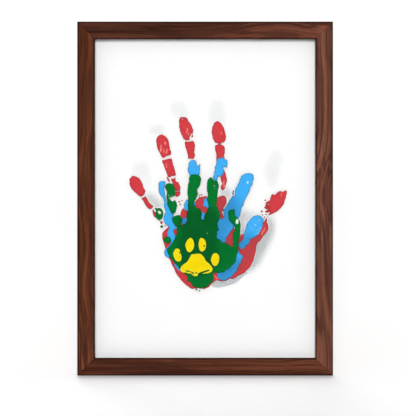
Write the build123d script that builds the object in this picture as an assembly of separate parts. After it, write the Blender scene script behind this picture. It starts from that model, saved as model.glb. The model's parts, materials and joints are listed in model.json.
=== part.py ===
from build123d import *
from math import cos, radians, sin, tan
import os

# Handprint keepsake frame: a mitred wooden moulding that holds a clear pane, a stack of clear sheets with one
# painted print on each, a white card and a backing board. Turn buttons keep the board in, and an easel leg
# stands the frame on a table.
#
# Everything is drawn upright first, in millimetres: x to the right seen from the front, y to the back, z up.
# The back plane of the moulding is y = 0 and its bottom edge is z = 0. The last section leans the whole frame
# back onto its open leg and moves the origin to the middle of the footprint.

# Sheets, which are A4, and the stack that they make from front to back
SHEET_WIDTH = 210.0
SHEET_HEIGHT = 297.0
PANE_THICKNESS = 1.5
SHEET_THICKNESS = 1.0
PAINT_THICKNESS = 0.15
PAINT_AIR = 0.10
CARD_AIR = 0.10
CARD_THICKNESS = 0.8
BOARD_THICKNESS = 3.0
BOARD_RECESS = 0.1

# Moulding
WALL = 6.0
FACE_WIDTH = 15.5
LIP_THICKNESS = 4.25
SIDE_CLEARANCE = 1.0
TOP_CLEARANCE = 1.0
OUTER_ARRIS = 1.5
SIGHT_ARRIS = 1.1
BACK_ARRIS = 0.6

# V-shaped nails across the mitres
NAIL_ARM = 4.5
NAIL_THICKNESS = 0.6
NAIL_DEPTH = 8.0
NAIL_SINK = 0.2

# Turn buttons and their screws
BUTTON_WIDTH = 5.0
BUTTON_REACH = 12.0
BUTTON_THICKNESS = 0.8
BUTTON_LIFT = 0.05
BUTTON_EDGE = 0.2
SIDE_BUTTON_SPACING = 150.0
END_BUTTON_SPACING = 130.0
SCREW_RADIUS = 1.0
SCREW_LENGTH = 9.0
SCREW_HEAD_RADIUS = 2.1
SCREW_HEAD_HEIGHT = 1.4
SCREW_DOME = 0.7
SCREW_HEAD_GAP = 0.1
RECESS_WIDTH = 0.7
RECESS_DEPTH = 0.8
SHANK_CLEARANCE = 0.05
PIVOT_CLEARANCE = 0.08

# Easel leg and its hinge
LEAN = 12.0
OPEN_ANGLE = 20.0
HINGE_HEIGHT = 205.0
HINGE_WIDTH = 42.0
LEG_THICKNESS = 2.5
LEG_FOOT_WIDTH = 72.0
LEG_CORNER = 7.0
LEG_EDGE = 0.4
PIN_RADIUS = 1.0
PIN_CLEARANCE = 0.05
KNUCKLE_WALL = 0.8
KNUCKLE_LIFT = 0.15
FOLD_GAP = 0.5
KNUCKLE_GAP = 0.3
MIDDLE_KNUCKLE = 14.0
LEAF_THICKNESS = 0.8
BOARD_LEAF_LENGTH = 26.0
LEG_LEAF_LENGTH = 24.0
LEAF_CORNER = 3.0
SWING_GAP = 0.4
STOP_GAP = 0.05

# Saw-tooth hangers
HANGER_LENGTH = 42.0
HANGER_HEIGHT = 9.0
HANGER_THICKNESS = 0.8
HANGER_RISE = 1.6
HANGER_BAR = 22.0
HANGER_RAMP = 2.0
HANGER_INSET = 24.0
HANGER_CORNER = 2.0
TOOTH_PITCH = 2.0
TOOTH_DEPTH = 1.6

# Rivets
RIVET_RADIUS = 1.2
RIVET_HEAD_RADIUS = 2.4
RIVET_HEAD_HEIGHT = 1.0
RIVET_DOME = 0.8
RIVET_CLEARANCE = 0.02
LEAF_RIVET_SPACING = 30.0
LEAF_RIVET_INSET = 5.0
HANGER_RIVET_INSET = 5.0

# Prints: each is a list of pads, and a pad is a smooth closed line through its points. The points are from the
# middle of the frame, x to the right and z up.
PALE_HAND = [
    # finger tips, from the little finger to the thumb
    [(-64, 28), (-60, 31.5), (-53, 31), (-50, 25), (-48, 18), (-46, 11), (-51, 12), (-55, 18), (-61, 21)],
    [(-48, 62), (-44, 65), (-38, 64), (-37, 60), (-42, 57), (-47, 58)],
    [(-31, 80), (-28, 84), (-20, 84), (-17, 78), (-20, 73), (-28, 73)],
    [(4.7, 77), (7, 84), (12, 85.5), (16.5, 82), (18, 75), (17, 67), (12, 65), (6, 69)],
    [(53.5, 24), (56, 33), (60, 41), (66, 42), (68, 35), (66, 24), (64, 12), (58, 9), (55, 14)],
    # between the fingers
    [(-50, 5), (-45, 9), (-40, 6), (-37, 0), (-36, -8), (-40, -9), (-46, -5), (-51, 0)],
    [(11, 9), (16, 9.5), (24, 9), (25, 3), (20, 0), (12, 2)],
    [(30, -8), (36, -7), (41, -11), (40, -18), (36, -28), (30, -33), (29, -20)],
    # side and heel of the palm
    [(50, -14), (57, -13.6), (62, -14.5), (62.5, -22), (60, -34), (56.5, -44), (52.5, -51.5), (46, -61),
     (36, -64), (30, -40), (40, -22)],
    [(46.5, -60.6), (41, -64), (36.5, -66.6), (31, -70), (27.5, -72.6), (21, -75.2), (14, -76.9), (8, -76.9),
     (3, -73), (0, -64), (30, -54), (44, -54)],
]
LARGE_HAND = [
    # little finger
    [(-67, 16), (-65.2, 18.6), (-62.3, 19.6), (-59.5, 18.5), (-56.9, 15.4), (-55, 11.8), (-53.5, 7.5),
     (-53.4, 4), (-56.4, 2.3), (-60.7, 4.2), (-64.2, 8), (-66.4, 12)],
    [(-55.4, 0.6), (-52.1, 1.9), (-50.2, -2.4), (-46.4, -6.6), (-47.3, -8.5), (-50.2, -7.5), (-53.5, -3.8)],
    # ring finger
    [(-43.1, 48.5), (-41.6, 54), (-38.6, 55.5), (-35.2, 54), (-32.6, 49.5), (-31.3, 44), (-30.5, 38.8),
     (-33.5, 37), (-37.4, 35.4), (-40.9, 41.1)],
    [(-37.8, 33.3), (-34, 34.9), (-29.9, 35.8), (-28.6, 29.5), (-26, 20.5), (-29, 18.8), (-32.4, 18.2),
     (-36.2, 27.9)],
    [(-29.4, 17.2), (-26.3, 18.4), (-25.8, 15), (-23.5, 13.4), (-22.3, 9.5), (-22.5, 2.7), (-26.4, 2.7),
     (-26.8, 8), (-28.2, 12.5)],
    # middle finger
    [(-22.8, 66.6), (-21.7, 69.6), (-19.5, 70.8), (-17.2, 70.7), (-15, 68.4), (-12.2, 64.4), (-10.6, 58.9),
     (-11.2, 53.9), (-13.5, 51.6), (-16.1, 50.7), (-18.6, 51.8), (-20.8, 55.6), (-22.2, 60)],
    [(-17.8, 48), (-14, 48.6), (-9.9, 49.6), (-9.6, 42.8), (-9.1, 37.8), (-10.2, 34.9), (-14, 34.6),
     (-15.2, 37.8), (-16.7, 43.4)],
    # index finger
    [(6.1, 58.3), (6.9, 63.3), (8.6, 66.2), (10.9, 67), (13.4, 65.5), (15.4, 62.2), (17.4, 57.7),
     (18.3, 54.4), (17.9, 51.1), (16.3, 48.7), (13.1, 48), (10.1, 48.5), (7.8, 50.6), (6.7, 54.4)],
    [(8.9, 45.8), (11.4, 47.2), (15.2, 47), (17.3, 44.8), (17.1, 40), (16.6, 32), (10.6, 32), (9.7, 40)],
    [(17.2, 23.4), (18.4, 19.6), (18.8, 15.7), (17.6, 10.4), (16, 7.9), (14.4, 9.8), (15.4, 12.6), (14.3, 16),
     (14.6, 20.6)],
    # thumb
    [(56, -13.5), (54.8, -9), (55.3, -3.5), (55.2, 0.5), (58.2, 1.7), (58.6, 3.9), (62.8, 5), (65.2, 6.4),
     (71.5, 6.9), (72.1, 4.5), (70.4, -1.5), (67.1, -6.6), (62.3, -10.6), (58.5, -12.3)],
    # palm
    [(-31.8, -24.2), (-37.2, -29.3), (-37.8, -32.5), (-36.8, -38), (-35, -43.5), (-31.2, -52), (-28.6, -57.4),
     (-26.7, -62.5), (-23.8, -67.4), (-20, -72), (-15.2, -76.2), (-10.6, -78.4), (-6, -77.4), (-1.8, -77.9),
     (3, -76.6), (6.5, -72.8), (9.5, -70.9), (13.5, -72), (20.2, -70.6), (28.8, -67.4), (36.5, -62.5),
     (41.3, -56.8), (44.1, -48.5), (45.2, -42), (46, -38.7), (49, -36), (51, -33.2), (54.7, -28.5),
     (55.8, -24.9), (55, -21.5), (53, -20), (47, -22), (40, -27), (34, -30.5), (30.5, -30.5), (25.2, -25.5),
     (20, -20), (16.6, -16.2), (16, -9), (17.9, -6), (19.2, -2.4), (18.3, 1.3), (15.4, 2.5), (11, 0.6),
     (6, -3), (1.2, 1.9), (-4.7, 0.9), (-8.6, -2.6), (-13, -8), (-17, -10.5), (-19, -8.4), (-21.2, -10.8),
     (-22, -14), (-25, -20)],
]
MEDIUM_HAND = [
    # little finger down to the side of the palm
    [(-40.5, 13.8), (-41.2, 9), (-40.4, 5), (-38.5, 1.5), (-36.6, -1), (-36.3, -7), (-34.9, -11.5),
     (-36.6, -16), (-36.2, -20.8), (-33.5, -23), (-31.7, -24.6), (-33.4, -30.6), (-32.6, -35), (-30.6, -38),
     (-32, -41), (-35.8, -44.7), (-36.1, -47.5), (-34.4, -50.3), (-31.5, -51.2), (-27.4, -57), (-22, -61),
     (-18, -45), (-25.4, -36), (-25.7, -33), (-28.2, -27.6), (-24.8, -26.2), (-26, -24), (-28, -20),
     (-28.4, -14.6), (-31, -7), (-33.5, -1), (-35, 6), (-34.6, 11), (-34.7, 13.8), (-37.5, 15)],
    # tips of the two middle fingers
    [(-15.3, 26.2), (-14.7, 30.6), (-12.7, 32.7), (-10.3, 33.3), (-8, 32.3), (-7.2, 29), (-6, 27.9),
     (-4.7, 29.2), (-4.6, 24.6), (-5.4, 20.8), (-9, 18.5), (-13.3, 19.6), (-14.2, 22.4), (-15.2, 23.6)],
    [(10.9, 34.6), (9.8, 30.1), (8.4, 24.5), (8, 21), (7, 18.9), (7.2, 16.6), (8.8, 15.4), (10.6, 16.2),
     (11.4, 19), (14.3, 19.4), (16.4, 22), (17, 25), (15.4, 26.8), (17.2, 27.8), (19.2, 27), (19.9, 30.6),
     (19.2, 33.4), (16.8, 34.4), (16.4, 35.8), (13.5, 35.2)],
    # roots of the two middle fingers
    [(-16, -0.6), (-18.1, -3.4), (-18.6, -7), (-17, -10.6), (-14, -9), (-13.5, -3)],
    [(-20, -17), (-20.4, -20.5), (-18.5, -22.3), (-14, -20.5), (-14.5, -16.5)],
    [(-11.6, -5.2), (-9.6, -3.4), (-8.3, -4.4), (-9, -7)],
    [(-0.2, 0), (-1.4, -4), (-1.2, -6), (2, -9), (5, -6), (3, 0)],
    [(-3.6, -11.6), (-0.2, -13), (-0.6, -18), (-4, -20), (-5.2, -14)],
    # index finger and the palm below it
    [(27.2, 9.1), (30, 15.1), (31.4, 19), (34.5, 21.5), (38.8, 22.4), (42.1, 21), (42.7, 18.5), (41.9, 12.9),
     (39.4, 7.5), (37.4, 3.2), (34.1, -4.2), (31.7, -10.8), (29.8, -16.9), (28, -20), (25.2, -25), (21.5, -30),
     (18.8, -33.6), (18.3, -37.4), (14.5, -38.6), (11, -38), (8, -33), (8, -22), (12, -17), (14.5, -17.2),
     (16.5, -16.3), (15.9, -10.8), (17.8, -7.1), (21.2, -2.4), (24, 1.2), (25.6, 2.6), (26.6, 5.5)],
    # thumb
    [(37.4, -20.7), (39.4, -17.9), (42.7, -15.1), (47, -14.5), (50.4, -16), (51.4, -18.8), (50.4, -24.5),
     (48.9, -28.7), (46.1, -32), (42.2, -34.3), (39.5, -35.7), (39.7, -37.3), (36.5, -40.9), (33.1, -43.8),
     (31.2, -42.8), (29.5, -40), (32.7, -35.3), (34.6, -30.6), (36, -24.9)],
    # right edge and middle of the palm
    [(29, -44.5), (31, -48), (33.2, -50.5), (32.2, -54.1), (29.3, -59.7), (26.9, -63.6), (21.2, -69.1),
     (16.4, -71.6), (13.3, -70.3), (10.6, -66.4), (12, -58), (20, -52), (25, -46)],
    [(-20, -36), (-22, -48), (-16, -60), (0, -64), (14, -62), (24, -50), (12, -34), (-4, -28)],
]
SMALL_HAND = [
    # little finger
    [(-44.6, -7.9), (-42, -8.2), (-38.7, -8.6), (-37, -11.8), (-37.7, -16), (-39.7, -19.2), (-43, -16),
     (-43.7, -12.2)],
    # ring finger
    [(-36, 10), (-34.7, 12.4), (-31.9, 13.5), (-29.1, 12.7), (-27, 10.2), (-26.6, 6.5), (-28.4, 2.8),
     (-31.3, 1.8), (-33.4, 4), (-35.2, 7.4)],
    [(-33.8, 1.9), (-31.6, 0.8), (-29.3, -1.8), (-26.6, -2.2), (-25.2, -5.5), (-25, -8.6), (-26.2, -12.2),
     (-28.9, -13.5), (-31, -10), (-32.4, -5.2), (-33.4, -1)],
    [(-28.6, -16.6), (-25.7, -14.5), (-22.4, -14.8), (-20.5, -17.9), (-21, -22.1), (-23.8, -24.9),
     (-26.7, -23), (-28.7, -19.8)],
    # middle finger
    [(-14.1, 18.5), (-11, 20.9), (-7.1, 20.9), (-4.4, 18.5), (-4, 15.1), (-5, 11), (-7, 8), (-6.6, 5.2),
     (-7.1, 2.3), (-9.3, -2.4), (-10.2, -5.5), (-8.3, -6.8), (-4.8, -9.4), (-3.2, -12.7), (-4.2, -18.4),
     (-5, -24), (-15, -24), (-15.7, -19.8), (-16.3, -15.5), (-15.2, -8.9), (-15, -1), (-15.4, 6), (-15.2, 11),
     (-14.4, 15.5)],
    # index finger
    [(1.9, 15.1), (3, 17.4), (5.4, 18.6), (6.8, 17.2), (8.4, 15.4), (10.3, 15.6), (11.5, 13.6), (12.1, 10.8),
     (11.4, 7), (10.6, 3.1), (10.6, -0.5), (9.9, -5.4), (11.7, -9), (12.8, -12.1), (13, -15.6), (11.3, -20),
     (11.7, -25.3), (10.5, -30), (9, -37), (-1, -30), (-2, -21), (-0.9, -18.7), (-0.2, -14), (1.2, -10.8),
     (3.1, -6.7), (2.9, -4.6), (1.8, -1), (2.3, 3.8), (1.7, 7.5), (1.6, 10)],
    # thumb
    [(20.6, -10.8), (22.6, -9.8), (26, -10), (26.5, -14), (28.8, -16.8), (30.8, -20.2), (31.3, -25.9),
     (30.5, -32.5), (29.4, -38), (28.8, -46), (24, -46), (25, -39), (24.3, -34.3), (25, -29.6), (26.4, -26.8),
     (25, -22.2), (22.1, -19.8), (20.7, -15.5)],
    # palm
    [(-15, -19), (-18, -21.8), (-21, -23.6), (-24.1, -25.6), (-24.3, -31.1), (-25.7, -35.3), (-28.8, -39.5),
     (-32.2, -41.9), (-33.7, -44.2), (-32.9, -47.2), (-31.1, -50.8), (-28.2, -54.6), (-26.4, -57.6),
     (-23, -61.3), (-18.6, -65), (-15.6, -70.2), (-12.4, -73.8), (-9, -76.8), (-4.5, -77.9), (0.2, -77),
     (3.5, -74.6), (6.6, -71.8), (7.6, -68), (7.4, -65), (10.5, -64.5), (15.9, -63.9), (21, -60.5),
     (25.6, -56.2), (27.6, -51), (29, -45), (28.6, -41), (25.4, -40.4), (24, -41.6), (21, -39.8),
     (18.5, -38.6), (15.2, -38), (13.4, -35.4), (10.8, -34.6), (6, -22), (-2, -18.6), (-8, -17)],
    # a dab beside the palm
    [(-36.6, -35.8), (-34, -33), (-32.8, -33), (-30.2, -35.8), (-32.8, -38.6), (-34, -38.6)],
]
PAW = [
    # toes
    [(-24.4, -43.2), (-22, -44.6), (-21.9, -48.2), (-20.4, -50.8), (-21, -53.6), (-23.8, -54.9), (-26.7, -52.7),
     (-28.2, -48.4), (-27.2, -44.7)],
    [(-12.8, -33.9), (-10.4, -36.4), (-9.8, -40.9), (-11.3, -44.9), (-14.3, -46.6), (-16.6, -44.2),
     (-17.4, -40), (-15.7, -36.2)],
    [(-3.2, -34), (-0.4, -35.8), (0.9, -40), (-0.4, -44.2), (-3.2, -46.2), (-5.4, -43.4), (-5.7, -39),
     (-4.9, -35.8)],
    [(9.2, -47.2), (11.8, -48.9), (12.5, -53.1), (10.7, -57.4), (8.2, -58.4), (5.9, -56.4), (5.1, -52.7),
     (6.8, -48.4)],
    # heel
    [(-11.9, -48.5), (-8, -48), (-4.2, -48), (-1.8, -49.9), (0.6, -53.9), (4.9, -57.8), (6.7, -60.7),
     (5.4, -63.9), (0.1, -64.9), (-4.7, -65.6), (-6.1, -67.2), (-8.5, -67.7), (-10.9, -66.4), (-13.3, -65),
     (-17.1, -64.2), (-20.5, -64), (-22, -61.6), (-20.6, -58.4), (-16.2, -54.9), (-13.6, -51.2)],
]

# The printed sheets from back to front, and the places that the stack gives
STACK = [("pale_hand", PALE_HAND), ("large_hand", LARGE_HAND), ("medium_hand", MEDIUM_HAND),
         ("small_hand", SMALL_HAND), ("paw", PAW)]
SHEET_PITCH = SHEET_THICKNESS + PAINT_THICKNESS + PAINT_AIR
DEPTH = (LIP_THICKNESS + PANE_THICKNESS + len(STACK) * SHEET_PITCH + CARD_AIR + CARD_THICKNESS
         + BOARD_THICKNESS + BOARD_RECESS)
WIDTH = SHEET_WIDTH + 2 * (SIDE_CLEARANCE + WALL)
HEIGHT = SHEET_HEIGHT + TOP_CLEARANCE + 2 * WALL
MIDDLE = HEIGHT / 2
PANE_FRONT = LIP_THICKNESS - DEPTH
CARD_FRONT = -BOARD_RECESS - BOARD_THICKNESS - CARD_THICKNESS
BOARD_BACK = -BOARD_RECESS

# The hinge, seen along x: its barrels and the folded leg both clear the board
KNUCKLE_RADIUS = PIN_RADIUS + PIN_CLEARANCE + KNUCKLE_WALL
AXIS_Y = BOARD_BACK + max(KNUCKLE_LIFT + KNUCKLE_RADIUS,
                          FOLD_GAP + LEG_THICKNESS + LEAF_THICKNESS - KNUCKLE_RADIUS)
LEG_BACK = AXIS_Y + KNUCKLE_RADIUS - LEAF_THICKNESS
LEG_TOP = HINGE_HEIGHT - KNUCKLE_RADIUS - SWING_GAP
HEEL_LENGTH = ((KNUCKLE_RADIUS - LEAF_THICKNESS) * cos(radians(OPEN_ANGLE)) + AXIS_Y - BOARD_BACK
               - STOP_GAP) / sin(radians(OPEN_ANGLE))

# The lean: a rounded edge reaches less far out when it is tilted, and the open leg leans the other way
EDGE_SHARE = cos(radians(LEAN)) + sin(radians(LEAN)) - 1
SPREAD = radians(OPEN_ANGLE - LEAN)
AXIS_HEIGHT = HINGE_HEIGHT * cos(radians(LEAN)) - AXIS_Y * sin(radians(LEAN)) - BACK_ARRIS * EDGE_SHARE


def sheet(front, back):
    """A flat sheet in the rabbet, standing on the lower wall."""
    box = Box(SHEET_WIDTH, back - front, SHEET_HEIGHT, align=(Align.CENTER, Align.MIN, Align.MIN))
    return Pos(0, front, WALL) * box


def face_plane(y):
    """A drawing plane along the frame's face: what is drawn on it in x and z grows to the front."""
    return Plane(origin=(0, y, 0), x_dir=(1, 0, 0), z_dir=(0, -1, 0))


def plate(outline, front, back):
    """An outline drawn in x and z, as thick as front to back."""
    return extrude(face_plane(back) * outline, back - front)


def peg(radius, front, back, x, z):
    """A round bar along y."""
    return plate(Pos(x, z) * Circle(radius), front, back)


def moulding(length):
    """A length of moulding for the bottom edge: mitred ends, eased edges, a rabbet on the inner back side."""
    front = -DEPTH
    points = [(front, 0), (front, FACE_WIDTH), (front + LIP_THICKNESS, FACE_WIDTH),
              (front + LIP_THICKNESS, WALL), (0, WALL), (0, 0)]
    section = make_face(Polyline(*points, close=True))

    def corner(y, z):
        return [v for v in section.vertices() if abs(v.X - y) < 1e-6 and abs(v.Y - z) < 1e-6]

    for y, z, radius in ((front, 0, OUTER_ARRIS), (front, FACE_WIDTH, SIGHT_ARRIS), (0, 0, BACK_ARRIS)):
        section = fillet(corner(y, z), radius)
    bar = extrude(Plane.YZ * section, length / 2, both=True)
    half = length / 2
    mitre = make_face(Polyline((-half, 0), (half, 0), (half - FACE_WIDTH, FACE_WIDTH),
                               (FACE_WIDTH - half, FACE_WIDTH), close=True))
    return bar & plate(mitre, front, 0)


def corner_nails():
    """One V nail in each corner, its arms along the middle of the two walls that meet there."""
    arm = NAIL_ARM + NAIL_THICKNESS / 2
    start = WALL / 2 - NAIL_THICKNESS / 2
    ell = make_face(Polyline((start, start), (start + arm, start), (start + arm, start + NAIL_THICKNESS),
                             (start + NAIL_THICKNESS, start + NAIL_THICKNESS),
                             (start + NAIL_THICKNESS, start + arm), (start, start + arm), close=True))
    nail = plate(ell, -NAIL_SINK - NAIL_DEPTH, -NAIL_SINK)
    left_bottom = Pos(-WIDTH / 2, 0, 0) * nail
    left_top = Pos(-WIDTH / 2, 0, HEIGHT) * Rot(0, 90, 0) * nail
    right_top = Pos(WIDTH / 2, 0, HEIGHT) * Rot(0, 180, 0) * nail
    right_bottom = Pos(WIDTH / 2, 0, 0) * Rot(0, -90, 0) * nail
    return [left_bottom, left_top, right_top, right_bottom]


def button_places():
    """Name, pivot and turn of each button: turned by 0 its tongue points up, to the middle of the board."""
    x = WIDTH / 2 - WALL / 2
    low, high = WALL / 2, HEIGHT - WALL / 2
    along, up = END_BUTTON_SPACING / 2, SIDE_BUTTON_SPACING / 2
    return [("bottom_left", -along, low, 0), ("bottom_right", along, low, 0),
            ("top_left", -along, high, 180), ("top_right", along, high, 180),
            ("left_lower", -x, MIDDLE - up, 90), ("left_upper", -x, MIDDLE + up, 90),
            ("right_lower", x, MIDDLE - up, -90), ("right_upper", x, MIDDLE + up, -90)]


def turn_button(x, z, turn):
    """A stamped steel button with round ends, which turns on its screw."""
    tongue = Pos(0, BUTTON_REACH / 2) * SlotCenterToCenter(BUTTON_REACH, BUTTON_WIDTH, rotation=90)
    outline = tongue - Circle(SCREW_RADIUS + PIVOT_CLEARANCE)
    button = plate(outline, BUTTON_LIFT, BUTTON_LIFT + BUTTON_THICKNESS)
    rim = button.faces().sort_by(Axis.Y)[-1].outer_wire().edges()
    return Pos(x, 0, z) * Rot(0, turn, 0) * fillet(rim, BUTTON_EDGE)


def button_screw(x, z):
    """A round-headed wood screw with a cross recess, down through a button into the moulding."""
    seat = BUTTON_LIFT + BUTTON_THICKNESS + SCREW_HEAD_GAP
    top = seat + SCREW_HEAD_HEIGHT
    head = peg(SCREW_HEAD_RADIUS, seat, top, 0, 0)
    head = fillet(head.faces().sort_by(Axis.Y)[-1].edges(), SCREW_DOME)
    cross = Rectangle(RECESS_WIDTH, SCREW_HEAD_RADIUS) + Rectangle(SCREW_HEAD_RADIUS, RECESS_WIDTH)
    screw = head + peg(SCREW_RADIUS, seat - SCREW_LENGTH, seat, 0, 0)
    return Pos(x, 0, z) * (screw - plate(cross, top - RECESS_DEPTH, top))


def screw_hole(x, z):
    """The pilot hole that a button's screw sits in."""
    end = BUTTON_LIFT + BUTTON_THICKNESS + SCREW_HEAD_GAP - SCREW_LENGTH - SHANK_CLEARANCE
    return peg(SCREW_RADIUS + SHANK_CLEARANCE, end, BUTTON_LIFT, x, z)


def frame_bars():
    """The four mitred bars, with slots for the nails and pilot holes for the screws."""
    bars = {
        "bottom_rail": moulding(WIDTH),
        "top_rail": Pos(0, 0, HEIGHT) * Rot(0, 180, 0) * moulding(WIDTH),
        "left_stile": Pos(-WIDTH / 2, 0, MIDDLE) * Rot(0, 90, 0) * moulding(HEIGHT),
        "right_stile": Pos(WIDTH / 2, 0, MIDDLE) * Rot(0, -90, 0) * moulding(HEIGHT),
    }
    slots = corner_nails()
    slots += [slot.moved(Location((0, NAIL_SINK, 0))) for slot in corner_nails()]
    holes = [screw_hole(x, z) for _, x, z, _ in button_places()]
    return {name: bar - slots - holes for name, bar in bars.items()}


def print_outline(pads):
    """The outline of a print: its pads, joined where they overlap."""
    outline = Sketch()
    for points in pads:
        outline += make_face(Spline(*points, periodic=True))
    return outline


def stack_pieces():
    """Pane, printed sheets from back to front, card and board, all standing on the lower wall."""
    pieces = {"front_pane": sheet(PANE_FRONT, PANE_FRONT + PANE_THICKNESS)}
    back = CARD_FRONT - CARD_AIR
    for name, pads in STACK:
        front = back - SHEET_THICKNESS
        outline = Pos(0, MIDDLE) * print_outline(pads)
        pieces[name + "_sheet"] = sheet(front, back)
        pieces[name + "_print"] = plate(outline, front - PAINT_THICKNESS, front)
        back = front - PAINT_THICKNESS - PAINT_AIR
    pieces["white_card"] = sheet(CARD_FRONT, CARD_FRONT + CARD_THICKNESS)
    board_front = BOARD_BACK - BOARD_THICKNESS
    holes = rivet_holes(board_leaf_rivet_places() + hanger_rivet_places(), board_front, BOARD_BACK)
    pieces["backing_board"] = sheet(board_front, BOARD_BACK) - holes
    return pieces


def rivet(x, z, front, back):
    """A rivet with a domed head behind and its tail flush at the front."""
    head = peg(RIVET_HEAD_RADIUS, back, back + RIVET_HEAD_HEIGHT, 0, 0)
    head = fillet(head.faces().sort_by(Axis.Y)[-1].edges(), RIVET_DOME)
    return Pos(x, 0, z) * (head + peg(RIVET_RADIUS, front, back, 0, 0))


def rivet_holes(places, front, back):
    """The holes that a row of rivets goes through."""
    return [peg(RIVET_RADIUS + RIVET_CLEARANCE, front, back, x, z) for x, z in places]


def board_leaf_rivet_places():
    """Where the rivets of the board's hinge leaf go."""
    z = HINGE_HEIGHT + BOARD_LEAF_LENGTH - LEAF_RIVET_INSET
    return [(side * LEAF_RIVET_SPACING / 2, z) for side in (-1, 1)]


def leg_leaf_rivet_places():
    """Where the rivets of the leg's hinge leaf go."""
    z = HINGE_HEIGHT - LEG_LEAF_LENGTH + LEAF_RIVET_INSET
    return [(side * LEAF_RIVET_SPACING / 2, z) for side in (-1, 1)]


def knuckle(x_low, x_high):
    """A rolled barrel round the hinge axis."""
    barrel = Cylinder(KNUCKLE_RADIUS, x_high - x_low, rotation=(0, 90, 0))
    return Pos((x_low + x_high) / 2, AXIS_Y, HINGE_HEIGHT) * barrel


def pin_bore():
    """The bore of the barrels."""
    bore = Cylinder(PIN_RADIUS + PIN_CLEARANCE, 2 * HINGE_WIDTH, rotation=(0, 90, 0))
    return Pos(0, AXIS_Y, HINGE_HEIGHT) * bore


def board_hinge_leaf():
    """The leaf on the board: bent up to two outer barrels, with a window that the leg's heel swings into."""
    half, middle = HINGE_WIDTH / 2, MIDDLE_KNUCKLE / 2 + KNUCKLE_GAP
    bend = HINGE_HEIGHT + KNUCKLE_RADIUS - LEAF_THICKNESS
    top = HINGE_HEIGHT + BOARD_LEAF_LENGTH
    window_top = HINGE_HEIGHT + HEEL_LENGTH + LEAF_THICKNESS + SWING_GAP
    outline = Pos(0, (bend + top) / 2) * Rectangle(HINGE_WIDTH, top - bend)
    outline = fillet(outline.vertices().group_by(Axis.Y)[-1], LEAF_CORNER)
    riser = Pos(0, bend + LEAF_THICKNESS / 2) * Rectangle(HINGE_WIDTH, LEAF_THICKNESS)
    window = Pos(0, (bend + window_top) / 2) * Rectangle(2 * middle, window_top - bend)
    leaf = plate(outline - window, BOARD_BACK, BOARD_BACK + LEAF_THICKNESS)
    leaf += plate(riser - window, BOARD_BACK, AXIS_Y)
    leaf += [knuckle(-half, -middle), knuckle(middle, half)]
    holes = rivet_holes(board_leaf_rivet_places(), BOARD_BACK, BOARD_BACK + LEAF_THICKNESS)
    return leaf - pin_bore() - holes


def leg_hinge_leaf():
    """The leaf on the leg, folded: one middle barrel, and a heel above it that stops the leg when open."""
    half, middle = HINGE_WIDTH / 2, MIDDLE_KNUCKLE / 2
    low = HINGE_HEIGHT - LEG_LEAF_LENGTH
    lower = Pos(0, (low + LEG_TOP) / 2) * Rectangle(HINGE_WIDTH, LEG_TOP - low)
    lower = fillet(lower.vertices().group_by(Axis.Y)[0], LEAF_CORNER)
    high = HINGE_HEIGHT + HEEL_LENGTH
    heel = Pos(0, (LEG_TOP + high) / 2) * Rectangle(2 * middle, high - LEG_TOP)
    leaf = plate(lower + heel, LEG_BACK, LEG_BACK + LEAF_THICKNESS)
    leaf += knuckle(-middle, middle)
    holes = rivet_holes(leg_leaf_rivet_places(), LEG_BACK, LEG_BACK + LEAF_THICKNESS)
    return leaf - pin_bore() - holes


def easel_leg():
    """The leg, folded: a board that widens to its foot, long enough to reach the table when it is open."""
    foot = HINGE_HEIGHT - AXIS_HEIGHT / cos(SPREAD) - (LEG_BACK - AXIS_Y) * tan(SPREAD)
    top, bottom = HINGE_WIDTH / 2, LEG_FOOT_WIDTH / 2
    outline = make_face(Polyline((-bottom, foot), (bottom, foot), (top, LEG_TOP), (-top, LEG_TOP), close=True))
    outline = fillet(outline.vertices().group_by(Axis.Y)[0], LEG_CORNER)
    leg = plate(outline, LEG_BACK - LEG_THICKNESS, LEG_BACK)
    rim = [edge for edge in leg.faces().sort_by(Axis.Y)[-1].edges() if edge.center().Z > foot + LEG_EDGE]
    leg = chamfer(rim, LEG_EDGE)
    return leg - rivet_holes(leg_leaf_rivet_places(), LEG_BACK - LEG_THICKNESS, LEG_BACK)


def opened(shape):
    """A piece of the leg, swung about the hinge from folded to open."""
    axis = Pos(0, AXIS_Y, HINGE_HEIGHT)
    return axis * Rot(OPEN_ANGLE, 0, 0) * axis.inverse() * shape


def saw_tooth_hanger():
    """A hanger on the origin: flat ends, and between them a raised bar with teeth along its lower edge."""
    half, bar = HANGER_LENGTH / 2, HANGER_BAR / 2
    bent = bar + HANGER_RAMP
    inner = Polyline((-half, 0), (-bent, 0), (-bar, HANGER_RISE), (bar, HANGER_RISE), (bent, 0), (half, 0))
    outer = Polyline((half, 0), (half, HANGER_THICKNESS), (bent, HANGER_THICKNESS),
                     (bar, HANGER_RISE + HANGER_THICKNESS), (-bar, HANGER_RISE + HANGER_THICKNESS),
                     (-bent, HANGER_THICKNESS), (-half, HANGER_THICKNESS), (-half, 0))
    strip = extrude(make_face(inner + outer), HANGER_HEIGHT / 2, both=True)
    ends = strip.edges().filter_by(Axis.Y).group_by(Axis.X)
    strip = fillet(ends[0] + ends[-1], HANGER_CORNER)
    count = int(HANGER_BAR / TOOTH_PITCH)
    low = -HANGER_HEIGHT / 2
    for i in range(count):
        x = (i - (count - 1) / 2) * TOOTH_PITCH
        notch = make_face(Polyline((x - TOOTH_PITCH / 2, low), (x + TOOTH_PITCH / 2, low),
                                   (x, low + TOOTH_DEPTH), close=True))
        strip -= plate(notch, HANGER_RISE, HANGER_RISE + HANGER_THICKNESS)
    return strip - rivet_holes([(-half + HANGER_RIVET_INSET, 0), (half - HANGER_RIVET_INSET, 0)],
                               0, HANGER_THICKNESS)


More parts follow.
